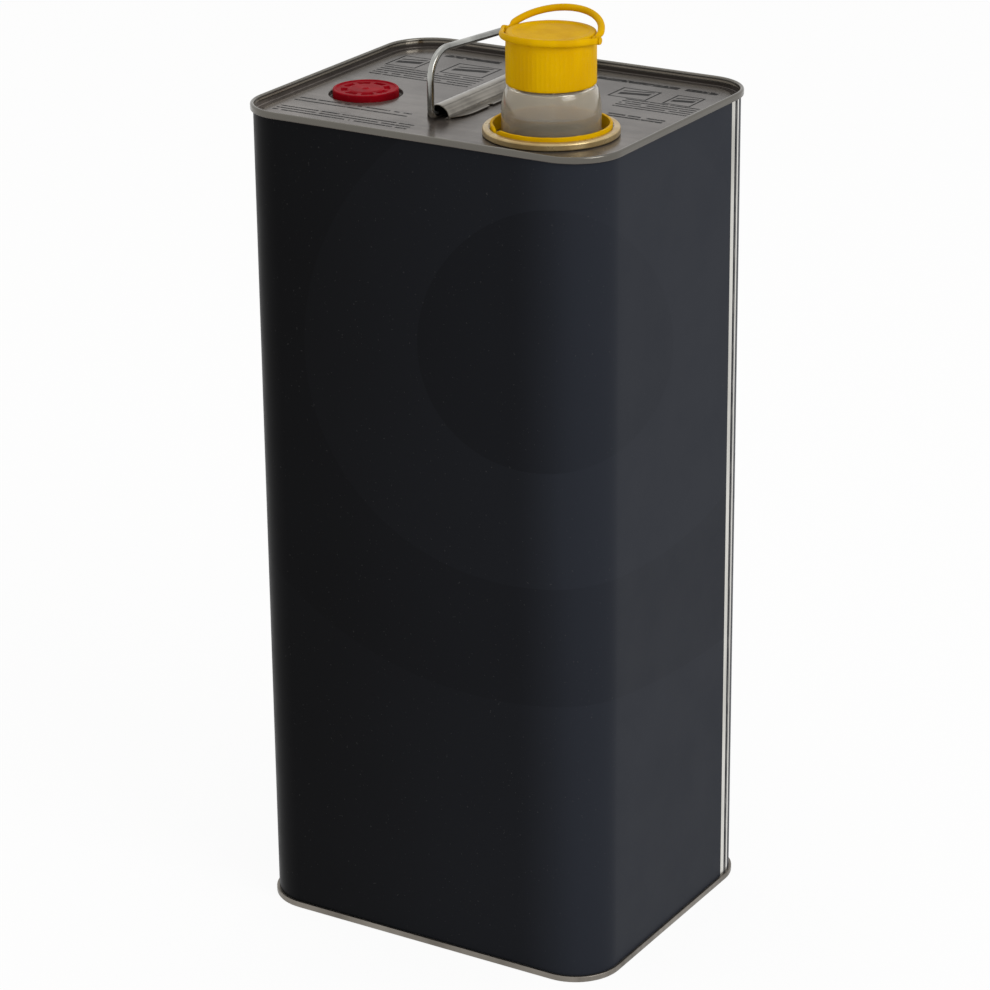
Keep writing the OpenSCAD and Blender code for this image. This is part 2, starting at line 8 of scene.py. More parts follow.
import json
import logging
import math
from dataclasses import dataclass, field
from enum import Enum
from typing import Any, Callable, Union

import bmesh
import bpy
import numpy as np
from mathutils import Matrix, Vector, geometry
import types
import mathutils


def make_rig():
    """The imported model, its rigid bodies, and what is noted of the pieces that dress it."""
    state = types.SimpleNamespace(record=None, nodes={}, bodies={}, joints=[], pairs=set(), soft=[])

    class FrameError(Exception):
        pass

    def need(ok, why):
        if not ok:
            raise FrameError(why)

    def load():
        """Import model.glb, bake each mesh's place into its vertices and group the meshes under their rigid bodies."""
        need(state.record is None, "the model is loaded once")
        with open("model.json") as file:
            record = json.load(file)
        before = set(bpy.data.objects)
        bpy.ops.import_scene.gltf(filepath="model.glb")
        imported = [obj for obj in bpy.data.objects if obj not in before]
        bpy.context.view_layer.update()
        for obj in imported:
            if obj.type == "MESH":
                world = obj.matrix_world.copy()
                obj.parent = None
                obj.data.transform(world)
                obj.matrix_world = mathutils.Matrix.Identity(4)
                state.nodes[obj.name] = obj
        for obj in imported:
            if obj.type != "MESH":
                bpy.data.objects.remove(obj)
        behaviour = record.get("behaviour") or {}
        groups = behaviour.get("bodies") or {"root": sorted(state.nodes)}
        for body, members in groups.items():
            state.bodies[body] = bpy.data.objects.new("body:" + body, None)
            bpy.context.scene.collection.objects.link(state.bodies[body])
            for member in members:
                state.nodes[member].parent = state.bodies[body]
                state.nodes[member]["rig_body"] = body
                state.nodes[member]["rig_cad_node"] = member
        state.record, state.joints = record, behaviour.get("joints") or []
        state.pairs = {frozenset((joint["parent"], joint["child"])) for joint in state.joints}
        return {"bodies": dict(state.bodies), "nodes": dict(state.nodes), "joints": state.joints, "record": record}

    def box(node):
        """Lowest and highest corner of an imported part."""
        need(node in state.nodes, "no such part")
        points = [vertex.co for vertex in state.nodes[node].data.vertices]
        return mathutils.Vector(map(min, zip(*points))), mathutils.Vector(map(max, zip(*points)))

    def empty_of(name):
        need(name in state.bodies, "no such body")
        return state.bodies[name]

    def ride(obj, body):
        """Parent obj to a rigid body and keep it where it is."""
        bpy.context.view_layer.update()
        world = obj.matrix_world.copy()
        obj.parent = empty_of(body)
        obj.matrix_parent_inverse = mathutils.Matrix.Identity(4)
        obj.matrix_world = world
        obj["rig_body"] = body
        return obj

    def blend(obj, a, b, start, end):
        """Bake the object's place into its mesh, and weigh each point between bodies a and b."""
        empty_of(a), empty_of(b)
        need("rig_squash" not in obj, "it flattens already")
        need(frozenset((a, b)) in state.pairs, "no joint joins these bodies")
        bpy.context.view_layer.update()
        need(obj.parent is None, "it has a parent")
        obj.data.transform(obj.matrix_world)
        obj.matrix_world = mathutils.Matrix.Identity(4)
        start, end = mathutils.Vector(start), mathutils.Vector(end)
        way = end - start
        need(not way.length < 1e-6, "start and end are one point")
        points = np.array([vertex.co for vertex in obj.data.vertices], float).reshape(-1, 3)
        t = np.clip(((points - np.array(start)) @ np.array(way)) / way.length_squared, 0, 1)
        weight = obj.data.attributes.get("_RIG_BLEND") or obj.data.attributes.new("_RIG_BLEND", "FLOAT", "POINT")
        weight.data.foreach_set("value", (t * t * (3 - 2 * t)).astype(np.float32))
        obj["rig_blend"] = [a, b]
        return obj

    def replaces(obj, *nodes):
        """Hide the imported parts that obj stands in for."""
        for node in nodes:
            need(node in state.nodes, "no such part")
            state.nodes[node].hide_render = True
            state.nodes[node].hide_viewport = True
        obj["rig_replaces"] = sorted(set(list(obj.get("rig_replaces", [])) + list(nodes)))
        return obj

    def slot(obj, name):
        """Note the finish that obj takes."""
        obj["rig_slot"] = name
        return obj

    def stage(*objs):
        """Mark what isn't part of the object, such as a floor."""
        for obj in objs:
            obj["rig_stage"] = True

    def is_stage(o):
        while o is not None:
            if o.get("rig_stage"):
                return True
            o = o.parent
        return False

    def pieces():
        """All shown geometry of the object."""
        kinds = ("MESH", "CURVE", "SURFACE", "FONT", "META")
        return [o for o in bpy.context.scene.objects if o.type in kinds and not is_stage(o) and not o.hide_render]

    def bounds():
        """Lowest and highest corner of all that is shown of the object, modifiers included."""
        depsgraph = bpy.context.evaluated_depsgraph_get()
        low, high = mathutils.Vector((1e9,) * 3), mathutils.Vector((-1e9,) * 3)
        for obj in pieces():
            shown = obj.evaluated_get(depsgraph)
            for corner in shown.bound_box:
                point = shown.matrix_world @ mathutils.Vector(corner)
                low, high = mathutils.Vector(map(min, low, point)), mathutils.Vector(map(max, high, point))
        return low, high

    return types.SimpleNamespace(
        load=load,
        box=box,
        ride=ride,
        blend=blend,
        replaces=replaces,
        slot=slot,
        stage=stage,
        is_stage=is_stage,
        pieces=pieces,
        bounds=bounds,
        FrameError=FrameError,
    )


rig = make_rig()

MM = 0.001
log = logging.getLogger("oil_can")


# ---- Curves and surfaces ----


def arc(x: float, y: float, radius: float, start: float, end: float, steps: int = 8) -> np.ndarray:
    """Points of a circle's arc: centre plus radius times (cos, sin) of an angle from start to end.

    Args:
        x, y: centre of the arc.
        radius: its radius.
        start, end: its first and last angle.
        steps: number of chords.
    Returns:
        Points, one row each.
    """
    angle = np.radians(np.linspace(start, end, steps + 1))
    return np.stack([x + radius * np.cos(angle), y + radius * np.sin(angle)], axis=1)


def outline(*parts: Any, closed: bool = False) -> np.ndarray:
    """Joins points and arcs into one polyline.

    Args:
        parts: single points or arrays of points.
        closed: whether the first point is repeated at the end.
    Returns:
        Points, one row each.
    """
    line = np.concatenate([np.atleast_2d(np.asarray(part, float)) for part in parts])
    return np.concatenate([line, line[:1]]) if closed else line


def smooth(low: float, high: float, value: np.ndarray) -> np.ndarray:
    """Smoothstep: 0 below low, 1 above high and 3t^2 - 2t^3 between them."""
    t = np.clip((value - low) / (high - low), 0.0, 1.0)
    return t * t * (3.0 - 2.0 * t)


def bump(value: np.ndarray, centre: float, half: float, ramp: float) -> np.ndarray:
    """A plateau of 1 within half of centre, with a smooth ramp down to 0 on both sides."""
    return 1.0 - smooth(half - ramp / 2, half + ramp / 2, np.abs(value - centre))


def revolve(profile: np.ndarray, axis: np.ndarray, steps: int = 96, start: float = 0.0,
            sweep: float = 360.0) -> np.ndarray:
    """Carries a profile (r, z) round an upright axis: the point is axis + r (cos a, sin a) at height z.

    Args:
        profile: rows of (r, z), anticlockwise round the section when r points right.
        axis: place (x, y) of the axis.
        steps: number of steps round.
        start: first angle.
        sweep: how far it turns.
    Returns:
        A grid of points, angle first and profile second.
    """
    angle = np.radians(np.linspace(start, start + sweep, steps + 1))[:, None]
    radius, height = profile[None, :, 0], profile[None, :, 1]
    x = axis[0] + radius * np.cos(angle)
    y = axis[1] + radius * np.sin(angle)
    return np.stack([x, y, np.broadcast_to(height, x.shape)], axis=2)


def turn(points: np.ndarray, origin: np.ndarray, yaw: float, pitch: float = 0.0) -> np.ndarray:
    """Takes points from a local frame to the can's: turned by pitch about X, by yaw about Z, then moved."""
    matrix = Matrix.Rotation(math.radians(yaw), 3, "Z") @ Matrix.Rotation(math.radians(pitch), 3, "X")
    return points @ np.array(matrix).T + origin


def tube(path: np.ndarray, wide: Any, tall: Any, side: np.ndarray, sides: int = 20) -> np.ndarray:
    """Carries an ellipse along a path: the point is path + wide cos a N + tall sin a B.

    N is the given side direction made square to the tangent T, and B = T x N.

    Args:
        path: points of the centre line.
        wide: half width along N, one value or one for each point.
        tall: half height along B, in the same way.
        side: direction of N, one vector or one for each point.
        sides: number of sides of the section.
    Returns:
        A grid of points, path first, with a pole at each end.
    """
    tangent = np.gradient(path, axis=0)
    tangent /= np.linalg.norm(tangent, axis=1, keepdims=True)
    normal = np.broadcast_to(side, path.shape) - tangent * np.sum(side * tangent, axis=1, keepdims=True)
    normal /= np.linalg.norm(normal, axis=1, keepdims=True)
    binormal = np.cross(tangent, normal)
    angle = np.linspace(0.0, 2.0 * math.pi, sides + 1)[None, :, None]
    wide, tall = (np.broadcast_to(np.asarray(v, float), len(path))[:, None, None] for v in (wide, tall))
    ring = (path[:, None] + wide * np.cos(angle) * normal[:, None] + tall * np.sin(angle) * binormal[:, None])
    poles = [np.repeat(path[end][None, None], sides + 1, axis=1) for end in (0, -1)]
    return np.concatenate([poles[0], ring, poles[1]])


@dataclass(frozen=True)
class Box:
    """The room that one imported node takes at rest, in millimetres."""

    low: np.ndarray
    high: np.ndarray

    @classmethod
    def of(cls, node: str) -> Box:
        """The box of the node with that name."""
        low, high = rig.box(node)
        return cls(np.array(low) / MM, np.array(high) / MM)

    @property
    def centre(self) -> np.ndarray:
        """Middle of the box."""
        return (self.low + self.high) / 2

    @property
    def half(self) -> np.ndarray:
        """Half of its width, depth and height."""
        return (self.high - self.low) / 2


@dataclass
class Shell:
    """Patches of points in millimetres that are welded into one piece."""

    name: str
    points: list[np.ndarray] = field(default_factory=list)
    faces: list[list[list[int]]] = field(default_factory=list)
    uvs: list[np.ndarray] = field(default_factory=list)
    count: int = 0

    def patch(self, points: np.ndarray, faces: np.ndarray, uv: np.ndarray | None = None) -> None:
        """Adds loose points and the faces between them, with UVs in millimetres."""
        self.points.append(points)
        self.faces.append((faces + self.count).tolist())
        self.uvs.append(points[:, :2] if uv is None else uv)
        self.count += len(points)

    def grid(self, points: np.ndarray, uv: np.ndarray | None = None) -> None:
        """Adds a grid of points as quads.

        Args:
            points: grid (n, m, 3).
            uv: grid (n, m, 2), or None for the points' own x and y.
        """
        n, m = points.shape[:2]
        index = np.arange(n * m).reshape(n, m)
        corners = (index[:-1, :-1], index[1:, :-1], index[1:, 1:], index[:-1, 1:])
        faces = np.stack([c.ravel() for c in corners], axis=1)
        self.patch(points.reshape(-1, 3), faces, None if uv is None else uv.reshape(-1, 2))

    def build(self, finish: Finish, sharp: float = 40.0, closed: bool = True) -> bpy.types.Object:
        """Welds the patches and gives the piece its finish.

        Args:
            finish: what the piece is dressed in.
            sharp: angle between faces past which an edge stays sharp.
            closed: whether the patches close a volume, whose faces are then turned outwards.
        Returns:
            The piece, at the origin.
        """
        mesh = bpy.data.meshes.new(self.name)
        faces = [face for patch in self.faces for face in patch]
        mesh.from_pydata((np.concatenate(self.points) * MM).tolist(), [], faces)
        corner = np.empty(len(mesh.loops), np.int32)
        mesh.loops.foreach_get("vertex_index", corner)
        unrolled = mesh.uv_layers.new(name="unrolled")
        unrolled.data.foreach_set("uv", (np.concatenate(self.uvs) * MM)[corner].astype(np.float32).ravel())
        work = bmesh.new()
        work.from_mesh(mesh)
        bmesh.ops.remove_doubles(work, verts=work.verts, dist=2e-6)
        bmesh.ops.dissolve_degenerate(work, edges=work.edges, dist=1e-7)
        if closed:
            bmesh.ops.recalc_face_normals(work, faces=work.faces)
        work.to_mesh(mesh)
        work.free()
        mesh.shade_smooth()
        mesh.set_sharp_from_angle(angle=math.radians(sharp))
        piece = bpy.data.objects.new(self.name, mesh)
        bpy.context.scene.collection.objects.link(piece)
        piece.data.materials.append(finish.material())
        return piece


def even_normals(piece: bpy.types.Object) -> None:
    """Lets large faces rule the shading at their rounded edges."""
    piece.modifiers.new("even_normals", "WEIGHTED_NORMAL").keep_sharp = True


def thicken(piece: bpy.types.Object, plate: float, offset: float = 0.0) -> None:
    """Gives a sheet its plate thickness, in millimetres."""
    wall = piece.modifiers.new("plate", "SOLIDIFY")
    wall.thickness = plate * MM
    wall.offset = offset
    wall.use_even_offset = True


def install(piece: bpy.types.Object, body: str, node: str, slot: str) -> bpy.types.Object:
    """Puts a finished piece in the place of its node and reports it.

    Args:
        piece: the new piece.
        body: body that it rides on.
        node: node that it stands for.
        slot: material slot of the record.
    Returns:
        The piece.
    """
    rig.replaces(piece, node)
    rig.slot(piece, slot)
    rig.ride(piece, body)
    log.info("%s: %d faces, stands for %s", piece.name, len(piece.data.polygons), node)
    return piece


# ---- Shader graphs ----


class Socket:
    """A node's output, so that shader maths reads as an expression."""

    def __init__(self, graph: Graph, output: bpy.types.NodeSocket) -> None:
        """Keeps the graph and the output."""
        self.graph = graph
        self.output = output

    def maths(self, operation: str, *operands: Value) -> Socket:
        """A Math node with those operands."""
        return self.graph.node("ShaderNodeMath", {"operation": operation}, dict(enumerate(operands)))

    def __add__(self, other: Value) -> Socket:
        """self + other."""
        return self.maths("ADD", self, other)

    def __sub__(self, other: Value) -> Socket:
        """self - other."""
        return self.maths("SUBTRACT", self, other)

    def __rsub__(self, other: Value) -> Socket:
        """other - self."""
        return self.maths("SUBTRACT", other, self)

    def __mul__(self, other: Value) -> Socket:
        """self * other."""
        return self.maths("MULTIPLY", self, other)

    def __truediv__(self, other: Value) -> Socket:
        """self / other."""
        return self.maths("DIVIDE", self, other)

    def __abs__(self) -> Socket:
        """Size of self."""
        return self.maths("ABSOLUTE", self)

    def __gt__(self, other: Value) -> Socket:
        """1 where self is above other."""
        return self.maths("GREATER_THAN", self, other)

    def __lt__(self, other: Value) -> Socket:
        """1 where self is below other."""
        return self.maths("LESS_THAN", self, other)

    __radd__ = __add__
    __rmul__ = __mul__

    def floor(self) -> Socket:
        """Whole part."""
        return self.maths("FLOOR", self)

    def fract(self) -> Socket:
        """Part after the point."""
        return self.maths("FRACT", self)

    def union(self, other: Value) -> Socket:
        """The larger of two masks."""
        return self.maths("MAXIMUM", self, other)

    def near(self, centre: float, half: float) -> Socket:
        """1 within half of centre."""
        return self.maths("COMPARE", self, centre, half)

    def ramp(self, low: float, high: float, start: float = 0.0, end: float = 1.0) -> Socket:
        """Goes smoothly from start, where self is low, to end, where it is high."""
        return self.graph.node("ShaderNodeMapRange", {"interpolation_type": "SMOOTHSTEP"},
                               {0: self, 1: low, 2: high, 3: start, 4: end})


Colour = tuple[float, float, float]
Value = Union[Socket, float, Colour]


class Graph:
    """The nodes of one material, with its Principled shader."""

    def __init__(self, tree: bpy.types.NodeTree) -> None:
        """Starts on a material's own tree."""
        self.tree = tree
        self.shader = tree.nodes.get("Principled BSDF")

    def feed(self, slot: bpy.types.NodeSocket, value: Value) -> None:
        """Links a socket to an input, or sets the input's own value."""
        if isinstance(value, Socket):
            self.tree.links.new(value.output, slot)
        elif isinstance(value, tuple) and len(slot.default_value) == 4:
            slot.default_value = (*value, 1.0)
        else:
            slot.default_value = value

    def node(self, kind: str, settings: dict[str, Any] | None = None,
             inputs: dict[str | int, Value] | None = None, output: str | int = 0) -> Socket:
        """Adds one node.

        Args:
            kind: the node's type.
            settings: its own properties, which are set first.
            inputs: value or link of each input, by name or number.
            output: the output that is wanted.
        Returns:
            That output.
        """
        made = self.tree.nodes.new(kind)
        for name, value in (settings or {}).items():
            setattr(made, name, value)
        for name, value in (inputs or {}).items():
            self.feed(made.inputs[name], value)
        return Socket(self, made.outputs[output])

    def dress(self, **sockets: Value) -> None:
        """Sets inputs of the shader, whose names are written with underscores."""
        for name, value in sockets.items():
            self.feed(self.shader.inputs[name.replace("_", " ").title().replace("Ior", "IOR")], value)

    def mix(self, amount: Value, first: Value, second: Value) -> Socket:
        """Colour that goes from first to second."""
        return self.node("ShaderNodeMix", {"data_type": "RGBA"}, {0: amount, 6: first, 7: second}, 2)

    def place(self, source: Source) -> Socket:
        """Coordinates of the surface."""
        return self.node("ShaderNodeTexCoord", output=source.value)

    def split(self, vector: Socket) -> tuple[Socket, Socket, Socket]:
        """The three parts of a vector in metres, as millimetres."""
        parts = [self.node("ShaderNodeSeparateXYZ", None, {0: vector}, i) for i in range(3)]
        return parts[0] * 1000.0, parts[1] * 1000.0, parts[2] * 1000.0

    def join(self, x: Value, y: Value, z: Value = 0.0) -> Socket:
        """A vector made of three parts."""
        return self.node("ShaderNodeCombineXYZ", None, {0: x, 1: y, 2: z})

    def noise(self, vector: Socket, scale: float, detail: float = 2.0, roughness: float = 0.5) -> Socket:
        """Soft noise from 0 to 1, with scale cells to the unit."""
        return self.node("ShaderNodeTexNoise", None,
                         {"Vector": vector, "Scale": scale, "Detail": detail, "Roughness": roughness})

    def stretched(self, vector: Socket, scale: Colour) -> Socket:
        """The vector with each part multiplied by its own factor."""
        return self.node("ShaderNodeVectorMath", {"operation": "MULTIPLY"}, {0: vector, 1: scale})

    def relief(self, height: Socket, depth: float, under: Socket | None = None) -> Socket:
        """Normal of a surface whose height from 0 to 1 stands for depth millimetres."""
        inputs: dict[str | int, Value] = {"Height": height, "Distance": depth * MM}
        if under is not None:
            inputs["Normal"] = under
        return self.node("ShaderNodeBump", None, inputs)


class Source(Enum):
    """Coordinates that a finish may follow."""

    OBJECT = "Object"
    UNROLLED = "UV"


def srgb(red: int, green: int, blue: int) -> Colour:
    """Linear colour of three display values from 0 to 255."""
    parts = np.array([red, green, blue]) / 255.0
    linear = np.where(parts > 0.04045, ((parts + 0.055) / 1.055) ** 2.4, parts / 12.92)
    return tuple(float(v) for v in linear)


# ---- Finishes ----


@dataclass(frozen=True)
class Finish:
    """What a surface looks like. Each kind paints its own graph."""

    name: str

    def material(self) -> bpy.types.Material:
        """The finish's material, made when it is first asked for."""
        name = "finish_" + self.name
        made = bpy.data.materials.get(name)
        if made is None:
            made = bpy.data.materials.new(name)
            made.use_nodes = True
            self.paint(Graph(made.node_tree))
        return made

    def paint(self, graph: Graph) -> None:
        """Adds the finish's nodes."""
        raise NotImplementedError

    def apply(self, node: str) -> None:
        """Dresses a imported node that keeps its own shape."""
        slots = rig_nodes()[node].data.materials
        slots.clear()
        slots.append(self.material())
        log.info("%s: kept, in %s", node, self.name)


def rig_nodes() -> dict[str, bpy.types.Object]:
    """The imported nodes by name."""
    return {piece["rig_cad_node"]: piece for piece in bpy.context.scene.objects if "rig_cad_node" in piece}


@dataclass(frozen=True)
class PrintedTin(Finish):
    """Near-black lithographed tinplate under satin varnish, with bare margins beside the weld."""

    seam_at: float                       # unrolled place of the side seam's middle
    ink: Colour = srgb(11, 11, 12)
    ink_painted_light: Colour = srgb(38, 41, 48)  # painted light: paler, bluer ink where light falls, towards the right
    tin: Colour = srgb(216, 214, 208)
    margins: tuple[float, float] = (3.1, 2.3)  # widths of the bare margins
    weld_half: float = 1.0               # half of the dark line between them
    ring_radii: tuple[float, ...] = (57.0, 109.0, 163.0)
    slow_painted_light: tuple[float, float, float] = (-90.0, 60.0, 0.3)   # painted light towards the right: from x, to x, and by how much
    quick_painted_light: tuple[float, float, float] = (50.0, 84.0, 0.7)   # painted light, the same, over the right-hand corners

    def paint(self, graph: Graph) -> None:
        """Faint tone-on-tone rings, painted light that turns the ink paler and bluer towards the right and the top,
        fine orange peel, small scuffs, and the bare margins.
        """
        along, _, _ = graph.split(graph.place(Source.UNROLLED))
        spot = graph.place(Source.OBJECT)
        offset = along - self.seam_at
        front, back = (width / 2 for width in self.margins)
        margins = offset.near(-self.weld_half - front, front) + offset.near(self.weld_half + back, back)
        cloud = graph.noise(spot, 9.0, 3.0)
        grime = graph.noise(graph.stretched(spot, (60.0, 60.0, 9.0)), 1.0, 4.0, 0.6)
        speck = graph.noise(spot, 900.0, 2.0) > 0.735
        rings = self.rings(graph, spot)
        x, _, z = graph.split(spot)
        # Painted light: the ink is mixed towards a paler, bluer tone towards the right-hand side, more so over the
        # right-hand corners and higher up the wall.
        slow, quick = (x.ramp(*span, 0.0, amount) for *span, amount in (self.slow_painted_light, self.quick_painted_light))
        shade = slow + quick
        shade = shade * (0.82 + rings * 0.2) * z.ramp(60.0, 380.0, 0.94, 1.1)
        ink = graph.mix(shade + rings * 0.04 + cloud.ramp(0.3, 0.7) * 0.04, self.ink, self.ink_painted_light)
        ink = graph.mix(speck * 0.12, ink, srgb(120, 120, 118))
        tin = graph.mix(grime.ramp(0.35, 0.75), self.tin, srgb(170, 168, 160))
        peel = graph.noise(spot, 1500.0, 1.0)
        wave = graph.noise(graph.stretched(spot, (1.0, 1.0, 0.5)), 22.0, 1.0)
        graph.dress(
            base_color=graph.mix(margins, ink, tin),
            metallic=margins,
            roughness=graph.noise(spot, 40.0, 4.0, 0.65).ramp(0.3, 0.75, 0.33, 0.42) - margins * 0.08,
            specular_ior_level=0.03,
            coat_weight=(rings * 0.01 + 0.015) * (1.0 - margins),
            coat_roughness=0.34,
            normal=graph.relief(peel, 0.004, graph.relief(wave, 0.25)),
        )

    def rings(self, graph: Graph, spot: Socket) -> Socket:
        """Tone of the faint rings: steps by the distance from one slanted line through the can."""
        line = (-0.48017, 0.81512, -0.32407)
        point = (0.06869, -0.0752, 0.31017)
        apart = graph.node("ShaderNodeVectorMath", {"operation": "SUBTRACT"}, {0: spot, 1: point})
        cross = graph.node("ShaderNodeVectorMath", {"operation": "CROSS_PRODUCT"}, {0: apart, 1: line})
        away = graph.node("ShaderNodeVectorMath", {"operation": "LENGTH"}, {0: cross}, "Value") * 1000.0
        inner, middle, outer = (away > radius for radius in self.ring_radii)
        return 0.1 + inner * 0.9 - middle * 0.7 + outer * 0.5


@dataclass(frozen=True)
class TextBlock:
    """Rows of small print that says nothing: worn dashes in groups."""

    left: float
    right: float
    top: float
    rows: int
    pitch: float = 3.2
    height: float = 1.5
    letter: float = 0.75
    wear: tuple[float, float] = (0.31, 0.36)  # share of the words and of the strokes that is missing

    def mask(self, graph: Graph, x: Socket, y: Socket) -> Socket:
        """1 on the print."""
        down = (self.top - y) / self.pitch
        row = down.floor()
        inside = down.near(self.rows / 2, self.rows / 2) * x.near((self.left + self.right) / 2,
                                                                   (self.right - self.left) / 2)
        strip = down.fract() < self.height / self.pitch
        words = graph.noise(graph.join(x / (self.letter * 5.0), row * 7.3 + self.top), 1.0, 0.0) > self.wear[0]
        strokes = graph.noise(graph.join(x / self.letter, y / self.height * 1.3, row), 1.0, 1.0) > self.wear[1]
        return inside * strip * words * strokes


@dataclass(frozen=True)
class Pictogram:
    """A framed panel with a slanted slab in it, printed in line."""

    left: float
    right: float
    low: float
    high: float
    line: float = 1.0
    slope: float = 0.22

    def mask(self, x: Socket, y: Socket) -> Socket:
        """1 on the print."""
        middle_x, middle_y = (self.left + self.right) / 2, (self.low + self.high) / 2
        half_x, half_y = (self.right - self.left) / 2, (self.high - self.low) / 2
        outer = x.near(middle_x, half_x) * y.near(middle_y, half_y)
        inner = x.near(middle_x, half_x - self.line) * y.near(middle_y, half_y - self.line)
        lean = y - self.low - (x - self.left) * self.slope
        slab = lean.near(half_y * 0.72, half_y * 0.22) + lean.near(half_y * 1.25, half_y * 0.09)
        slab = slab * x.near(middle_x, half_x * 0.72)
        return outer * (1.0 - inner) + slab * inner


@dataclass(frozen=True)
class BareTin(Finish):
    """Rolled tinplate: soft streaks, faint stains and rubbed patches, mirror-like at a glance."""

    colour: Colour = srgb(112, 105, 99)
    dark: Colour = srgb(76, 71, 67)
    rim: Colour = srgb(102, 99, 93)      # bare metal above the print
    cover: float = 0.45                  # share of clear size and grey tint over the printed metal
    sheen: float = 0.13                  # roughness of a clean patch
    grain: Colour = (25.0, 260.0, 25.0)  # stretch of the rolling marks
    text: tuple[TextBlock, ...] = ()
    pictures: tuple[Pictogram, ...] = ()
    rim_from: float = 392.0              # height at which the print ends
    corner: tuple[float, float, float] = (70.4, 53.2, 22.1)  # its centre, and the reach of the rim's inner wall
    line_at: float = 393.2               # height of the pale line on that wall
    line_half: float = 0.4
    ink: Colour = srgb(22, 21, 21)

    def paint(self, graph: Graph) -> None:
        """Metal with streaks and stains, a painted reflection that darkens a printed panel towards the back, a pale
        line on the rim's inner wall, and the print over it.
        """
        spot = graph.place(Source.OBJECT)
        cloud = graph.noise(spot, 26.0, 4.0, 0.6)
        streak = graph.noise(graph.stretched(spot, self.grain), 1.0, 3.0, 0.55)
        tone = cloud.ramp(0.3, 0.75) * 0.7 + streak.ramp(0.35, 0.7) * 0.3
        colour = graph.mix(tone, self.colour, self.dark)
        rough = cloud.ramp(0.25, 0.75, self.sheen, self.sheen + 0.12) + streak * 0.05
        waves = graph.relief(graph.noise(spot, 45.0, 1.0), 0.12)
        normal = graph.relief(graph.noise(spot, 1400.0, 2.0), 0.0015, waves)
        if not self.text:
            graph.dress(base_color=colour, metallic=1.0, roughness=rough, normal=normal)
            return
        x, y, z = graph.split(spot)
        bare = z.ramp(self.rim_from, self.rim_from + 0.6)
        # Painted reflection: the panel darkens towards the back.
        colour = graph.mix(y.ramp(-55.0, 70.0, 0.0, 0.95), colour, self.dark)
        colour = graph.mix(bare, colour, self.rim)
        past = graph.join((abs(x) - self.corner[0]).union(0.0), (abs(y) - self.corner[1]).union(0.0))
        reach = graph.node("ShaderNodeVectorMath", {"operation": "LENGTH"}, {0: past}, "Value")
        # A pale line round the rim's inner wall.
        line = z.near(self.line_at, self.line_half) * (reach < self.corner[2])
        colour = graph.mix(line, colour, srgb(186, 178, 164))
        print_mask = self.pictures[0].mask(x, y)
        for picture in self.pictures[1:]:
            print_mask = print_mask.union(picture.mask(x, y))
        for block in self.text:
            print_mask = print_mask.union(block.mask(graph, x, y))
        worn = print_mask * graph.noise(spot, 300.0, 3.0, 0.6).ramp(0.25, 0.5, 0.7, 1.0)
        graph.dress(
            base_color=graph.mix(worn, colour, self.ink),
            metallic=bare * self.cover + (1.0 - self.cover) * (1.0 - worn),
            roughness=rough + worn * 0.25,
            specular_ior_level=0.05,
            normal=normal,
        )


@dataclass(frozen=True)
class Lacquer(Finish):
    """Gold-lacquered tinplate, its tone a little uneven."""

    colour: Colour = srgb(190, 168, 122)
    deep: Colour = srgb(170, 144, 96)

    def paint(self, graph: Graph) -> None:
        """Warm metal with a thin clear coat."""
        spot = graph.place(Source.OBJECT)
        cloud = graph.noise(spot, 120.0, 3.0, 0.6)
        graph.dress(
            base_color=graph.mix(cloud.ramp(0.3, 0.75), self.colour, self.deep),
            metallic=0.55,
            roughness=cloud.ramp(0.3, 0.8, 0.26, 0.38),
            normal=graph.relief(graph.noise(spot, 900.0, 2.0), 0.003),
        )


@dataclass(frozen=True)
class MouldedPlastic(Finish):
    """Polyethylene straight from the mould: even colour, a waxy sheen and faint flow marks."""

    colour: Colour
    deep: Colour
    sheen: float = 0.36                  # roughness
    gloss: float = 0.02                  # strength of the reflection
    dust: float = 0.03                   # share of pale dust

    def paint(self, graph: Graph) -> None:
        """Colour with slow drifts, dust in the hollows of the grain, and fine texture."""
        spot = graph.place(Source.OBJECT)
        drift = graph.noise(graph.stretched(spot, (1.0, 1.0, 0.35)), 90.0, 2.0)
        dust = graph.noise(spot, 700.0, 4.0, 0.7)
        colour = graph.mix(drift.ramp(0.3, 0.7), self.colour, self.deep)
        colour = graph.mix(dust.ramp(0.5, 0.8) * self.dust, colour, srgb(205, 196, 176))
        graph.dress(
            base_color=colour,
            roughness=dust.ramp(0.3, 0.8, self.sheen, self.sheen + 0.14),
            specular_ior_level=self.gloss,
            normal=graph.relief(graph.noise(spot, 1600.0, 2.0), 0.004),
        )


@dataclass(frozen=True)
class NaturalPlastic(Finish):
    """Uncoloured polyethylene: milky, and clear enough to see what is inside."""

    colour: Colour = srgb(232, 224, 206)
    clear: float = 0.82                  # share of light that goes through

    def paint(self, graph: Graph) -> None:
        """Milky body with faint clouds and stress marks."""
        spot = graph.place(Source.OBJECT)
        cloud = graph.noise(graph.stretched(spot, (1.0, 1.0, 0.5)), 110.0, 3.0, 0.6)
        graph.dress(
            base_color=graph.mix(cloud.ramp(0.3, 0.75), self.colour, srgb(222, 212, 192)),
            roughness=cloud.ramp(0.3, 0.75, 0.1, 0.16),
            transmission_weight=self.clear,
            ior=1.48,
            normal=graph.relief(graph.noise(spot, 120.0, 1.0), 0.012),
        )


@dataclass(frozen=True)
class Compound(Finish):
    """Rubbery sealing compound, gasket or foam: matt and finely pitted."""

    colour: Colour
    deep: Colour
    pit: float = 0.01                    # depth of the pits

    def paint(self, graph: Graph) -> None:
        """Matt colour with soft blotches."""
        spot = graph.place(Source.OBJECT)
        blotch = graph.noise(spot, 240.0, 4.0, 0.6)
        graph.dress(
            base_color=graph.mix(blotch.ramp(0.3, 0.7), self.colour, self.deep),
            roughness=blotch.ramp(0.2, 0.8, 0.62, 0.78),
            normal=graph.relief(graph.noise(spot, 1800.0, 3.0), self.pit),
        )


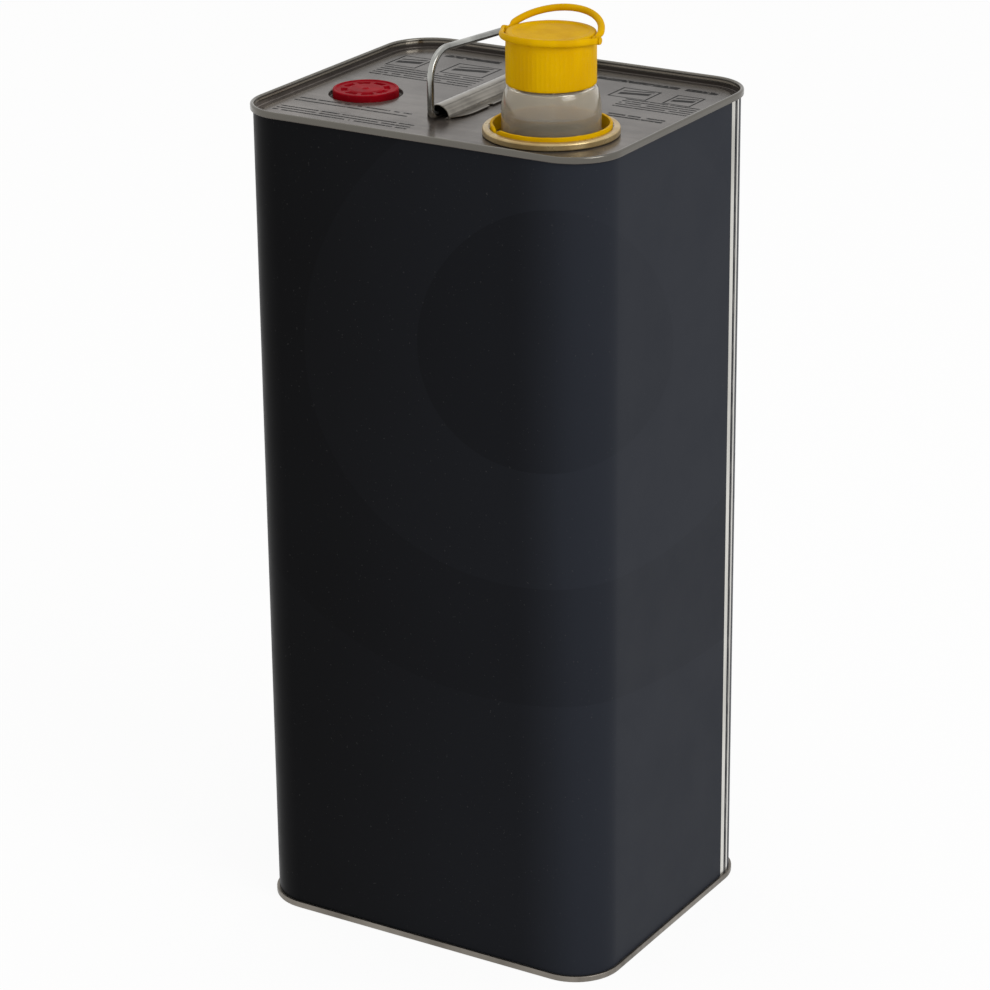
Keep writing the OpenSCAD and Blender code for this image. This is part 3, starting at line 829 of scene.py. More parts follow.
@dataclass(frozen=True)
class WeldScale(Finish):
    """The resistance weld's lap: dark scale with a bright edge here and there."""

    def paint(self, graph: Graph) -> None:
        """Dark metal with short bright dashes along the lap."""
        spot = graph.place(Source.OBJECT)
        dash = graph.noise(graph.stretched(spot, (900.0, 900.0, 130.0)), 1.0, 3.0, 0.6)
        graph.dress(
            base_color=graph.mix(dash.ramp(0.45, 0.8), srgb(62, 62, 64), srgb(128, 126, 122)),
            metallic=0.8,
            roughness=dash.ramp(0.3, 0.8, 0.55, 0.4),
            normal=graph.relief(dash, 0.02),
        )


# ---- Can ----


@dataclass(frozen=True)
class WallOutline:
    """The wall's plan: a rectangle with round corners, walked anticlockwise from the middle of the back."""

    half_x: float
    half_y: float
    radius: float
    flat_steps: int = 24
    corner_steps: int = 16

    def keys(self) -> np.ndarray:
        """Rows of (x, y, direction of the normal) where one stretch ends and the next starts."""
        cx, cy = self.half_x - self.radius, self.half_y - self.radius
        return np.array([(0, cy, 90), (-cx, cy, 90), (-cx, cy, 180), (-cx, -cy, 180), (-cx, -cy, 270),
                         (cx, -cy, 270), (cx, -cy, 360), (cx, cy, 360), (cx, cy, 450), (0, cy, 450)], float)

    def lengths(self) -> np.ndarray:
        """Length along the wall at each key."""
        keys = self.keys()
        step = np.diff(keys, axis=0)
        run = np.hypot(step[:, 0], step[:, 1]) + np.radians(step[:, 2]) * self.radius
        return np.concatenate([[0.0], np.cumsum(run)])

    def walk(self) -> tuple[np.ndarray, np.ndarray, np.ndarray]:
        """Walks the outline.

        Returns:
            Centres that the offset starts from, normals, and the length along the wall.
        """
        keys = self.keys()
        counts = [self.flat_steps, self.corner_steps] * 4 + [self.flat_steps]
        share = np.concatenate([np.linspace(i, i + 1, n, endpoint=False) for i, n in enumerate(counts)]
                               + [[float(len(counts))]])
        at = np.arange(len(keys))
        x, y, angle = (np.interp(share, at, keys[:, i]) for i in range(3))
        normal = np.stack([np.cos(np.radians(angle)), np.sin(np.radians(angle))], axis=1)
        return np.stack([x, y], axis=1), normal, np.interp(share, at, self.lengths())

    def sweep(self, profile: np.ndarray,
              bow: Callable[..., np.ndarray] | None = None) -> tuple[np.ndarray, np.ndarray]:
        """Carries a profile (u, z) round the wall: the point is centre + (radius + u) normal at height z.

        Args:
            profile: rows of (u, z), u outwards from the wall.
            bow: extra offset outwards as a function of length along the wall and height.
        Returns:
            The grid of points, and its unrolled UVs.
        """
        centre, normal, along = self.walk()
        s, z = np.meshgrid(along, profile[:, 1], indexing="ij")
        offset = self.radius + profile[None, :, 0] + (0.0 if bow is None else bow(s, z))
        plan = centre[:, None] + offset[..., None] * normal[:, None]
        return np.concatenate([plan, z[..., None]], axis=2), np.stack([s, z], axis=2)


@dataclass
class CanShell:
    """The welded body and the two seamed ends."""

    corner_r: float = 21.98              # the wall's corner radius
    plate: float = 0.24
    seam_out: float = 1.32               # how far a seam stands out of the wall
    seam_h: float = 3.1
    fold: float = 0.44                   # depth of the body's fold below the rim
    hook: float = 1.8
    countersink: float = 4.0
    channel_w: float = 3.6
    channel_drop: float = 0.6
    bow_depth: float = 0.16              # how far the flat walls sink in
    spout_opening: float = 28.3
    spout_bead: float = 29.74
    spout_bead_h: float = 2.2
    recess_r: float = 16.9
    recess_h: float = 2.4
    vent_r: float = 11.6
    vent_bead: float = 12.74
    vent_h: float = 0.1
    print_shift: float = 0.5             # how far the bare margins sit in front of the lap

    def __post_init__(self) -> None:
        """Takes the can's size and the places of its openings from the frame."""
        ends = Box.of("top_end")
        self.top = float(ends.high[2])
        self.wall = WallOutline(ends.high[0] - self.seam_out, ends.high[1] - self.seam_out, self.corner_r)
        self.spout = Box.of("spout_collar").centre[:2]
        self.vent = Box.of("vent_gasket").centre[:2]
        self.panel = self.top - self.countersink

    def bow(self, s: np.ndarray, z: np.ndarray) -> np.ndarray:
        """Offset of the flat walls: a shallow dish, with two slow waves, that fades at edges and seams."""
        lengths = self.wall.lengths()
        lift = np.zeros_like(s)
        for start, end in zip(lengths[::2], lengths[1::2]):
            across = bump(s, (start + end) / 2, (end - start) / 2 - 12.0, 24.0)
            lift = np.where((s >= start) & (s <= end), across, lift)
        fade = smooth(4.0, 40.0, z) * smooth(4.0, 40.0, self.top - z)
        waves = 0.5 * np.sin(z / 61.0 + s / 90.0) + 0.35 * np.sin(z / 27.0 - s / 38.0)
        return -self.bow_depth * lift * fade * (0.7 + 0.3 * waves)

    def body(self) -> bpy.types.Object:
        """The wall with an outward hook at each mouth, which the seams hold."""
        t, lap = self.plate, 2 * self.plate
        heights = np.concatenate([np.linspace(self.seam_h, self.top - self.seam_h, 60)])
        hook = np.array([(-t, self.fold), (lap, self.fold), (lap, self.fold + self.hook),
                         (t, self.fold + self.hook), (t, self.fold + t), (0, self.fold + t)])
        upper = np.stack([hook[::-1, 0], self.top - hook[::-1, 1]], axis=1)
        rows = np.stack([np.zeros_like(heights), heights], axis=1)
        inner = np.stack([np.full_like(heights, -t), heights[::-1]], axis=1)
        shell = Shell("can_body_printed")
        shell.grid(*self.wall.sweep(outline(hook, rows, upper, inner, closed=True), self.bow))
        seam_at = self.wall.lengths()[7] + Box.of("side_seam").centre[1] - (self.wall.half_y - self.corner_r)
        piece = shell.build(PrintedTin("printed_tin", seam_at=seam_at - self.print_shift))
        even_normals(piece)
        return install(piece, "root", "can_body", "printed_tin")

    def end_profile(self) -> np.ndarray:
        """Section of an end from its panel's underside, out round the seam and back to the panel's face.

        Returns:
            Rows of (u, depth below the rim, negative), anticlockwise.
        """
        t, out, drop = self.plate, self.seam_out, self.countersink + self.channel_drop
        inner = -2 * self.plate
        bead = (out - inner) / 2
        dip = np.linspace(0.0, 1.0, 9)[:, None]
        slope = np.hstack([inner - self.channel_w + 0.9 - 1.6 * dip,
                           -drop + self.channel_drop * (1 - np.cos(math.pi * dip)) / 2])
        under = slope[::-1] - [0.0, t]
        return outline(
            [slope[-1, 0] - 0.5, -self.countersink - t], under,
            arc(inner - 0.5, -drop + 0.5, 0.5 + t, -90, 0, 6),
            [inner + t, -self.seam_h],
            arc(out - 0.4, -self.seam_h + 0.4, 0.4, -90, 0, 4),
            [out - 0.03, -self.seam_h + 1.1], [out, -self.seam_h + 1.7],
            arc(out - bead, -bead, bead, 0, 180, 12),
            arc(inner - 0.5, -drop + 0.5, 0.5, 0, -90, 6),
            slope, [slope[-1, 0] - 0.5, -self.countersink])

    def panel_faces(self, shell: Shell, edge: np.ndarray, holes: list[np.ndarray], z: float,
                    plate: float) -> None:
        """Fills a panel between its edge and its holes, above and below.

        Args:
            shell: what the panel is added to.
            edge: points (x, y) of its edge.
            holes: points (x, y) of each hole's edge.
            z: height of its upper face.
            plate: its thickness.
        """
        loops = [edge[:-1]] + [hole[:-1] for hole in holes]
        plan = np.concatenate(loops)
        start, edges = 0, []
        for loop in loops:
            index = np.arange(len(loop))
            edges += np.stack([start + index, start + (index + 1) % len(loop)], axis=1).tolist()
            start += len(loop)
        found = geometry.delaunay_2d_cdt([Vector(p) for p in plan], edges, [], 0, 1e-6)
        flat, faces = np.array([tuple(p) for p in found[0]]), np.array(found[2])
        middle = flat[faces].mean(axis=1)
        keep = np.ones(len(faces), bool)
        for hole in holes:
            centre = hole[:-1].mean(axis=0)
            keep &= np.hypot(*(middle - centre).T) > np.hypot(*(hole[0] - centre))
        for height, way in ((z, 1), (z - plate, -1)):
            shell.patch(np.column_stack([flat, np.full(len(flat), height)]), faces[keep][:, ::way])

    def top_end(self) -> bpy.types.Object:
        """The top: seam, chuck wall, channel and panel, with the spout's neck and the vent's recess."""
        shell = Shell("top_end_pressed")
        profile = self.end_profile() + [0.0, self.top]
        ring, _ = self.wall.sweep(profile)
        shell.grid(ring)
        z, t = self.panel, self.plate
        spout = outline(
            arc(self.spout_opening + t + 0.5, z + 0.5, 0.5, -90, -180, 4),
            [self.spout_opening + t, z + 1.0], [self.spout_bead - 0.4, z + 1.0],
            arc(self.spout_bead - 0.6, z + self.spout_bead_h - 0.6, 0.6, -90, 90, 8),
            [self.spout_opening, z + self.spout_bead_h],
            arc(self.spout_opening + t + 0.5, z + 0.5, 0.5 + t, -180, -90, 4))
        low = z - self.recess_h
        vent = outline(
            arc(self.recess_r + 0.5, z - 0.5, 0.5, 90, 180, 4),
            arc(self.recess_r - 0.5, low + 0.5, 0.5, 0, -90, 4),
            arc(self.vent_r + t + 0.4, low + 0.4, 0.4, -90, -180, 4),
            arc(self.vent_bead - 0.35, z + self.vent_h - 0.35, 0.35, -90, 90, 6),
            [self.vent_r, z + self.vent_h],
            arc(self.vent_r + t + 0.4, low + 0.4, 0.4 + t, -180, -90, 4),
            arc(self.recess_r - 0.5, low + 0.5, 0.5 + t, -90, 0, 4),
            arc(self.recess_r + 0.5, z - 0.5, 0.5 - t, 180, 90, 4))
        holes = [revolve(spout, self.spout), revolve(vent, self.vent)]
        for hole in holes:
            shell.grid(hole)
        self.panel_faces(shell, ring[:, -1, :2], [hole[:, 0, :2] for hole in holes], z, t)
        piece = shell.build(self.panel_finish())
        even_normals(piece)
        return install(piece, "root", "top_end", "tinplate")

    def panel_finish(self) -> BareTin:
        """Tin with the panel's small print: two headed halves of rows and pictures."""
        return BareTin(
            "tinplate_panel",
            text=(
                TextBlock(-65, -20, 62.0, 1, 4.4, 3.9, 1.9), TextBlock(17, 80, 62.0, 1, 4.4, 3.9, 1.9),
                TextBlock(-80, -26, 30.5, 5, 3.4), TextBlock(47, 85, 34.0, 5, 3.1),
                TextBlock(52, 81, 9.5, 2, 3.2, 2.0, 1.0),
                TextBlock(-83, -23, -35.5, 2, 4.2), TextBlock(-83, -12, -51.0, 3, 3.2)),
            pictures=(Pictogram(-82, -65, 32.5, 51), Pictogram(-52, -28.5, 32.5, 51),
                      Pictogram(36.5, 56.5, 34.5, 50.5), Pictogram(64.6, 79, 34.5, 50.5)))

    def bottom_end(self) -> bpy.types.Object:
        """The bottom: the same section upside down, with a plain panel."""
        shell = Shell("bottom_end_pressed")
        ring, _ = self.wall.sweep(self.end_profile() * [1.0, -1.0])
        shell.grid(ring)
        self.panel_faces(shell, ring[:, -1, :2], [], self.countersink + self.plate, self.plate)
        dull = BareTin("tinplate_bottom", colour=srgb(138, 132, 124), dark=srgb(96, 91, 84), sheen=0.3)
        piece = shell.build(dull)
        even_normals(piece)
        return install(piece, "root", "bottom_end", "tinplate")

    def build(self) -> None:
        """Makes the shell and dresses the seams' own pieces."""
        self.body()
        self.top_end()
        self.bottom_end()
        WeldScale("weld_scale").apply("side_seam")
        lining = Compound("seam_lining", srgb(186, 181, 166), srgb(160, 154, 138))
        for node in ("top_seam_compound", "bottom_seam_compound"):
            lining.apply(node)


# ---- Handle ----


@dataclass
class CarryHandle:
    """A wire bail whose feet turn in a rolled bracket."""

    plate: float = 0.5
    reach: float = 10.2                  # how far the foot runs out from the barrel's axis
    foot_lift: float = 0.5               # the foot's underside above the panel
    taper_from: float = 16.0             # distance from the middle at which the foot's edge draws in
    taper: float = 5.6
    notch_y: float = 7.8
    notch_r: float = 1.7
    weld_r: float = 1.7
    weld_dent: float = 0.28
    wrap: float = 294.0                  # how far the plate goes round the wire
    wire_r: float = 1.6
    tail: float = 18.0
    foot_bend: float = 3.5
    grip_bend: float = 13.0
    grip_slope: float = 3.5              # how far the grip bar falls towards the back, as an angle

    def __post_init__(self) -> None:
        """Takes the barrel and the wire's place from the frame."""
        bracket, wire = Box.of("handle_bracket"), Box.of("wire_handle")
        self.half_len = float(bracket.half[1])
        self.x = float(wire.centre[0])
        self.barrel_r = self.x - float(bracket.low[0])
        self.barrel_z = float(bracket.high[2]) - self.barrel_r
        self.panel = float(bracket.low[2])
        self.pivot_z = float(wire.low[2]) + self.wire_r
        self.leg_y = float(wire.high[1]) - self.wire_r
        self.grip_z = float(wire.high[2]) - self.wire_r

    def foot_edge(self, y: np.ndarray) -> np.ndarray:
        """Edge of the foot: full reach, drawn in at the ends by a power curve, with two round notches."""
        past = np.clip(np.abs(y) - self.taper_from, 0.0, None) / (self.half_len - self.taper_from)
        notch = np.sqrt(np.clip(self.notch_r ** 2 - (np.abs(y) - self.notch_y) ** 2, 0.0, None))
        return self.reach - self.taper * past ** 3.5 - notch

    def bracket(self) -> bpy.types.Object:
        """A plate strip: flat foot, then round the wire and back to just above the foot."""
        round_notch = self.notch_y + self.notch_r * np.cos(np.linspace(0, math.pi, 17))
        y = np.unique(np.round(np.concatenate([np.linspace(-self.half_len, self.half_len, 74), round_notch,
                                               -round_notch]), 4))
        middle_r = self.barrel_r - self.plate / 2
        foot_z = self.panel + self.foot_lift + self.plate / 2
        knee = 2.6
        share = np.linspace(0.0, 1.0, 22)[None, :]
        edge = self.foot_edge(y)[:, None]
        foot_x = edge + (knee - edge) * share
        sag = smooth(knee + 2.0, 0.0, foot_x)
        foot_h = foot_z + sag * (self.barrel_z - middle_r - foot_z)
        for weld_y in (-(self.half_len + self.notch_y) / 2, 0.0, (self.half_len + self.notch_y) / 2):
            weld_x = self.reach - 2 * self.notch_r - self.weld_r
            apart = np.hypot(foot_x - weld_x, y[:, None] - weld_y) / self.weld_r
            foot_h = foot_h - self.weld_dent * np.exp(-apart ** 4)
        angle = np.radians(np.linspace(-90.0 + 18.0, -90.0 - self.wrap, 50))[None, :]
        roll_x = np.broadcast_to(middle_r * np.cos(angle), (len(y), 50))
        roll_h = np.broadcast_to(self.barrel_z + middle_r * np.sin(angle), (len(y), 50))
        across = np.concatenate([foot_x, roll_x], axis=1)
        height = np.concatenate([foot_h, roll_h], axis=1)
        depth = np.broadcast_to(y[:, None], across.shape)
        shell = Shell("handle_bracket_rolled")
        shell.grid(np.stack([self.x + across, depth, height], axis=2))
        tin = BareTin("bracket_tin", colour=srgb(152, 147, 138), dark=srgb(60, 56, 52), sheen=0.14,
                      grain=(700.0, 12.0, 700.0))
        piece = shell.build(tin, sharp=50.0, closed=False)
        thicken(piece, self.plate - 0.02)
        rim = piece.modifiers.new("edge", "BEVEL")
        rim.width, rim.segments, rim.limit_method = 0.08 * MM, 2, "ANGLE"
        return install(piece, "root", "handle_bracket", "bracket_tin")

    def wire(self) -> bpy.types.Object:
        """Round wire: two tails in the barrel, bends up to the legs, wide bends into the grip."""
        tail_y = self.half_len - self.tail
        bend_y, foot_y = self.leg_y - self.grip_bend, self.leg_y - self.foot_bend
        front_z = self.grip_z - self.grip_bend
        back_z = front_z - 2 * bend_y * math.tan(math.radians(self.grip_slope))
        tail = np.column_stack([np.linspace(foot_y, tail_y, 8)[1:], np.full(7, self.pivot_z)])
        foot = outline(arc(foot_y, self.pivot_z + self.foot_bend, self.foot_bend, 0, -90, 12), tail)
        front = arc(-bend_y, front_z, self.grip_bend, 180, 90 - self.grip_slope, 20)
        back = arc(bend_y, back_z, self.grip_bend, 90 - self.grip_slope, 0, 20)
        bar = np.linspace(front[-1], back[0], 26)[1:-1]
        both = np.concatenate([foot[::-1] * [-1.0, 1.0], front, bar, back, foot])
        path = np.column_stack([np.full(len(both), self.x), both])
        shell = Shell("wire_handle_bent")
        shell.grid(tube(path, self.wire_r, self.wire_r, np.array([1.0, 0.0, 0.0])))
        bright = BareTin("handle_wire_bright", colour=srgb(206, 206, 200), dark=srgb(84, 84, 82), sheen=0.1,
                         grain=(620.0, 25.0, 25.0))
        return install(shell.build(bright, sharp=60.0), "handle", "wire_handle", "handle_wire")

    def build(self) -> None:
        """Makes the bracket and the wire."""
        self.bracket()
        self.wire()


# ---- Spout ----


YELLOW = MouldedPlastic("yellow_plastic_moulded", srgb(218, 170, 0), srgb(208, 158, 0))
NATURAL = NaturalPlastic("natural_plastic_milky")


@dataclass
class SpoutMount:
    """What holds the spout to the panel: crimped collar, gasket, base and the broken tamper band."""

    collar_t: float = 0.35
    band_wall: float = 1.4
    break_at: float = 234.0              # direction of the band's break
    break_w: float = 3.0

    def __post_init__(self) -> None:
        """Takes radii and heights from the frame."""
        self.collar_box, self.band_box = Box.of("spout_collar"), Box.of("tamper_band")
        self.axis = self.collar_box.centre[:2]
        self.collar_r = float(self.collar_box.half[0])
        self.band_r = float(self.band_box.half[0])

    def collar(self) -> bpy.types.Object:
        """Thin plate curled under the panel's bead, over it and in to the base."""
        t, r = self.collar_t, self.collar_r
        low, top = float(self.collar_box.low[2]), float(self.collar_box.high[2])
        inner = self.band_r + 0.2 + t
        section = outline(
            [r - 1.75, low + 0.1], arc(r - 0.75, low + 0.75, 0.75, -110, 0, 8),
            arc(r - 1.15, top - 1.15, 1.15, 0, 90, 10), [inner + 0.4, top],
            arc(inner + 0.15, top - 0.15, 0.15, 90, 180, 3), [inner, top - t],
            arc(r - 1.15, top - 1.15, 1.15 - t, 90, 0, 10),
            arc(r - 0.75, low + 0.75, 0.75 - t, 0, -110, 6), [r - 1.75, low + t + 0.1], closed=True)
        shell = Shell("spout_collar_crimped")
        shell.grid(revolve(section, self.axis, 128))
        piece = shell.build(Lacquer("gold_lacquer"), sharp=60.0)
        even_normals(piece)
        return install(piece, "root", "spout_collar", "gold_lacquer")

    def band(self) -> bpy.types.Object:
        """A ring with a torn break: its top sinks and frays in a few degrees beside the gap."""
        low, top = float(self.band_box.low[2]), float(self.band_box.high[2])
        r, w = self.band_r, self.band_wall
        gap = math.degrees(self.break_w / (r - w / 2))
        section = outline(
            [r - w, low], [r, low], arc(r - 0.35, top - 0.35, 0.35, 0, 90, 4),
            arc(r - w + 0.35, top - 0.35, 0.35, 90, 180, 4), closed=True)
        start, sweep, steps = self.break_at + gap / 2, 360.0 - gap, 200
        ring = revolve(section, self.axis, steps, start, sweep)
        away = np.minimum(np.linspace(0, sweep, steps + 1), np.linspace(sweep, 0, steps + 1))[:, None]
        fray = (1 - smooth(0.0, 5.5, away)) * (0.8 + 0.35 * np.sin(away * 2.6))
        up = (ring[..., 2] - low) / (top - low)
        ring[..., 2] -= 2.0 * fray * up
        crest = np.cos(np.radians(np.linspace(0, sweep, steps + 1) * 12))
        mark = 0.12 * np.maximum(0.0, crest - 0.86)[:, None] / 0.14
        ring[..., 2] += mark * smooth(0.9, 1.0, up) * (away > 8.0) - 0.12 * smooth(0.9, 1.0, up)
        shell = Shell("tamper_band_torn")
        shell.grid(ring)
        for end in (0, -1):
            middle = np.repeat(ring[end].mean(axis=0)[None], ring.shape[1], axis=0)
            shell.grid(np.stack([middle, ring[end]] if end else [ring[end], middle]))
        piece = shell.build(YELLOW, sharp=50.0)
        return install(piece, "root", "tamper_band", "yellow_plastic")

    def build(self) -> None:
        """Makes the collar and band, and dresses the gasket and base."""
        self.collar()
        self.band()
        NATURAL.apply("spout_base")
        Compound("gasket_rubber", srgb(216, 212, 198), srgb(190, 185, 170)).apply("spout_gasket")


@dataclass
class PullUpSpout:
    """The flexible sleeve, the pouring neck and its tear-out seal."""

    wall: float = 1.1
    straight: float = 11.0
    shoulder_h: float = 12.0
    shoulder_in: float = 2.1
    parting_at: float = -58.0            # direction of the mould's parting line
    hinge_top: float = 404.0             # height above which the sleeve moves with the neck

    def __post_init__(self) -> None:
        """Takes the sleeve's place from the frame."""
        self.box = Box.of("spout_sleeve")
        self.axis = self.box.centre[:2]
        self.r = float(self.box.half[0])
        self.lip_r = float(Box.of("spout_neck").half[0]) + 0.2

    def sleeve(self) -> bpy.types.Object:
        """A thin wall, straight and then leaning in on an arc, with a parting line and one faint crease."""
        base, lip = float(self.box.low[2]), float(self.box.high[2])
        bend = (self.shoulder_h ** 2 + self.shoulder_in ** 2) / (2 * self.shoulder_in)
        reach = math.degrees(math.asin(self.shoulder_h / bend))
        knee, top_r = base + self.straight, self.r - self.shoulder_in
        rise = np.linspace(base, knee, 30)[:-1]
        outer = outline(
            np.column_stack([np.full_like(rise, self.r), rise]),
            arc(self.r - bend, knee, bend, 0, reach * 0.86, 22),
            arc(top_r - 1.35, lip - 1.2, 1.2, 12, 90, 8), [self.lip_r, lip])
        inner = outline(
            [self.lip_r, lip - self.wall],
            arc(top_r - 1.2 - self.wall * 0.4, lip - 1.2 - self.wall, 1.0, 90, 20, 5),
            arc(self.r - bend, knee, bend - self.wall, reach * 0.8, 0, 20),
            np.column_stack([np.full_like(rise, self.r - self.wall), rise[::-1]]))
        steps = 192
        ring = revolve(outline(outer, inner, closed=True), self.axis, steps)
        angle = np.linspace(0.0, 360.0, steps + 1)[:, None]
        centre = np.array([*self.axis, 0.0])
        span = ring - centre
        radius = np.hypot(span[..., 0], span[..., 1])
        skin = np.zeros(ring.shape[1])[None, :] + (np.arange(ring.shape[1]) < len(outer))[None, :]
        sides = (self.parting_at % 360, (self.parting_at + 180) % 360)
        seam = sum(np.exp(-((angle - side) / 0.9) ** 2) for side in sides)
        crease = np.exp(-((ring[..., 2] - knee - 1.0) / 0.28) ** 2)
        swell = 0.16 * seam * smooth(lip - 3.0, lip - 6.0, ring[..., 2]) + 0.12 * crease
        sway = 0.1 * np.sin(np.radians(angle * 3 + 40)) * smooth(knee - 6, knee + 4, ring[..., 2])
        grow = 1 + (swell * skin + sway * smooth(lip, lip - 5.0, ring[..., 2])) / radius
        ring[..., :2] = centre[:2] + span[..., :2] * grow[..., None]
        shell = Shell("spout_sleeve_flexible")
        shell.grid(ring)
        piece = shell.build(NATURAL, sharp=60.0)
        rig.replaces(piece, "spout_sleeve")
        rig.slot(piece, "natural_plastic")
        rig.blend(piece, "root", "neck", start=(0.0, 0.0, (base + 0.5) * MM),
                 end=(0.0, 0.0, self.hinge_top * MM))
        log.info("%s: %d faces, bends between root and neck", piece.name, len(piece.data.polygons))
        return piece

    def build(self) -> None:
        """Makes the sleeve and dresses the neck and its seal."""
        self.sleeve()
        for node in ("spout_neck", "neck_membrane", "pull_ring"):
            NATURAL.apply(node)


@dataclass
class ScrewCap:
    """The ribbed cap with two pull bails on one hinge axis."""

    wall: float = 1.4
    top_t: float = 1.6
    edge_r: float = 0.9
    rib_count: int = 60
    rib_h: float = 0.2
    rib_show: float = 0.35               # share of that height that the worn ribs keep
    rib_stop: float = 6.0                # distance of the ribs from the cap's top
    dish_r: float = 16.6                 # radius of the sunk disc in the top
    dish_h: float = 0.45
    pitch: float = 3.0
    thread_h: float = 0.9
    hinge_at: float = 2.0                # direction of the hinge axis
    hinge_drop: float = 1.9
    pin_r: float = 0.9
    eye_r: float = 1.8
    eye_w: float = 1.45
    eye_gap: float = 0.2
    rod_r: float = 1.55
    ring_r: float = 22.0
    front_in: float = 0.5                # how much nearer the cap the front bail lies
    front_slim: float = 0.45             # how much slimmer its rod is
    sleeve_wall: float = 1.1
    sleeve_gap: float = 0.8
    raised_rear: float = 20.0            # how far each bail stands up
    raised_front: float = 4.0

    def __post_init__(self) -> None:
        """Takes the cap's place from the frame."""
        box = Box.of("spout_cap")
        self.low, self.top = float(box.low[2]), float(box.high[2])
        self.axis = Box.of("cap_liner").centre[:2]
        self.r = float(Box.of("spout_sleeve").half[0]) - self.sleeve_wall - self.sleeve_gap - self.rib_h
        self.hinge = np.array([*self.axis, self.top - self.hinge_drop])
        self.rods = {Bail.REAR: (self.ring_r, self.rod_r),
                     Bail.FRONT: (self.ring_r - self.front_in, self.rod_r - self.front_slim)}
        self.eye_x = {Bail.REAR: self.ring_r - self.rod_r,
                      Bail.FRONT: self.ring_r - self.rod_r + self.eye_w + self.eye_gap}

    def cap(self) -> bpy.types.Object:
        """Ribbed wall, rounded edge, sunk top disc, bore with a helical thread, and the hinge pins.

        A rib is a raised cosine round the wall. The thread is a ridge centred where
        (z - low) / pitch - a / 360 is whole.
        """
        r, low, top, dish = self.r, self.low, self.top, self.top - self.dish_h
        rise = np.linspace(low + 0.3, top - self.rib_stop + 1.5, 16)
        outside = outline(
            [r - 0.3, low], [r, low + 0.3], np.column_stack([np.full_like(rise, r), rise])[1:],
            arc(r - self.edge_r, top - self.edge_r, self.edge_r, 0, 90, 7),
            [self.dish_r + 0.5, top], [self.dish_r + 0.15, top - 0.12], [self.dish_r - 0.15, dish + 0.1],
            [self.dish_r - 0.5, dish], [self.dish_r - 4.0, dish], [3.0, dish + 0.05], [0.0, dish + 0.05])
        bore = r - self.wall
        down = np.linspace(top - self.top_t, low + 0.4, 64)
        inside = outline([0.0, top - self.top_t], [bore - 1.0, top - self.top_t],
                         np.column_stack([np.full_like(down, bore), down]), [bore + 0.3, low], [r - 0.3, low])
        section = outline(outside, inside)
        steps = 480
        ring = revolve(section, self.axis, steps)
        angle = np.linspace(0.0, 360.0, steps + 1)[:, None]
        z = ring[..., 2]
        span = ring[..., :2] - self.axis
        radius = np.maximum(np.hypot(span[..., 0], span[..., 1]), 1e-6)
        index = np.arange(len(section))[None, :]
        wave = np.clip(np.cos(np.radians(angle * self.rib_count)) * 1.6 - 0.3, 0.0, 1.0)
        zone = smooth(low, low + 0.8, z) * (1 - smooth(top - self.rib_stop - 0.8, top - self.rib_stop, z))
        ribs = self.rib_show * self.rib_h * wave * zone * (index < len(outside)) * (radius > r - 0.5)
        turn_z = (z - low) / self.pitch - angle / 360.0
        ridge = np.clip(1.0 - np.abs(turn_z - np.round(turn_z)) * self.pitch / 0.9, 0.0, 1.0) * 1.4
        reach = smooth(low + 8.0, low + 11.0, z) * (1 - smooth(top - 6.5, top - 4.5, z))
        on_bore = (index > len(outside)) * (radius > bore - 0.1)
        thread = self.thread_h * np.minimum(ridge, 1.0) * reach * on_bore
        ring[..., :2] = self.axis + span * (1 + (ribs - thread) / radius)[..., None]
        shell = Shell("spout_cap_ribbed")
        shell.grid(ring)
        pin_end = self.eye_x[Bail.FRONT] + self.eye_w + self.eye_gap
        pin = outline([0.0, self.r - 0.7], [self.pin_r, self.r - 0.7], [self.pin_r, pin_end],
                      arc(self.eye_r - 0.36, pin_end + 0.2, 0.2, -90, 90, 6), [0.0, pin_end + 0.4])
        for side in (0.0, 180.0):
            shell.grid(self.on_hinge(revolve(pin, np.zeros(2), 28), side))
        piece = shell.build(YELLOW, sharp=45.0)
        return install(piece, "cap", "spout_cap", "yellow_plastic")

    def on_hinge(self, points: np.ndarray, side: float) -> np.ndarray:
        """Lays a turned shape, upright about z, along the hinge axis on one side."""
        return turn(points[..., [2, 0, 1]], self.hinge, self.hinge_at + side)

    def bail(self, kind: Bail) -> bpy.types.Object:
        """A half ring whose rod narrows at both ends to the width of its eye.

        The rod's centre line in polar form is its ring's radius, eased to the eye's near the hinge.
        """
        eye_mid = self.eye_x[kind] + self.eye_w / 2
        angle = np.concatenate([np.linspace(3.4, 18, 14)[:-1], np.linspace(18, 162, 72),
                                np.linspace(162, 176.6, 14)[1:]])
        near = 1 - smooth(5.0, 17.0, np.minimum(angle, 180.0 - angle))
        ring_r, half_w = self.rods[kind]
        radius = ring_r + (eye_mid - ring_r) * near
        way = np.radians(angle)
        path = np.column_stack([radius * np.cos(way), radius * np.sin(way), np.zeros_like(way)])
        wide = half_w + (self.eye_w / 2 - half_w) * near
        tall = self.rod_r + (self.eye_r * 0.8 - self.rod_r) * near
        inward = -path / np.linalg.norm(path, axis=1, keepdims=True)
        shapes = [tube(path, wide, tall, -inward, 24)]
        half = self.eye_w / 2
        hole = self.pin_r + 0.08
        eye = outline([hole, -half], arc(self.eye_r - 0.2, -half + 0.2, 0.2, -90, 0, 4),
                      arc(self.eye_r - 0.2, half - 0.2, 0.2, 0, 90, 4), [hole, half], closed=True)
        for side in (1.0, -1.0):
            ring = revolve(eye, np.zeros(2), 40)
            shapes.append(ring[..., [2, 0, 1]] + [side * eye_mid, 0.0, 0.0])
        yaw, pitch = {Bail.REAR: (self.hinge_at, self.raised_rear),
                      Bail.FRONT: (self.hinge_at + 180.0, self.raised_front)}[kind]
        shell = Shell(kind.value + "_moulded")
        for shape in shapes:
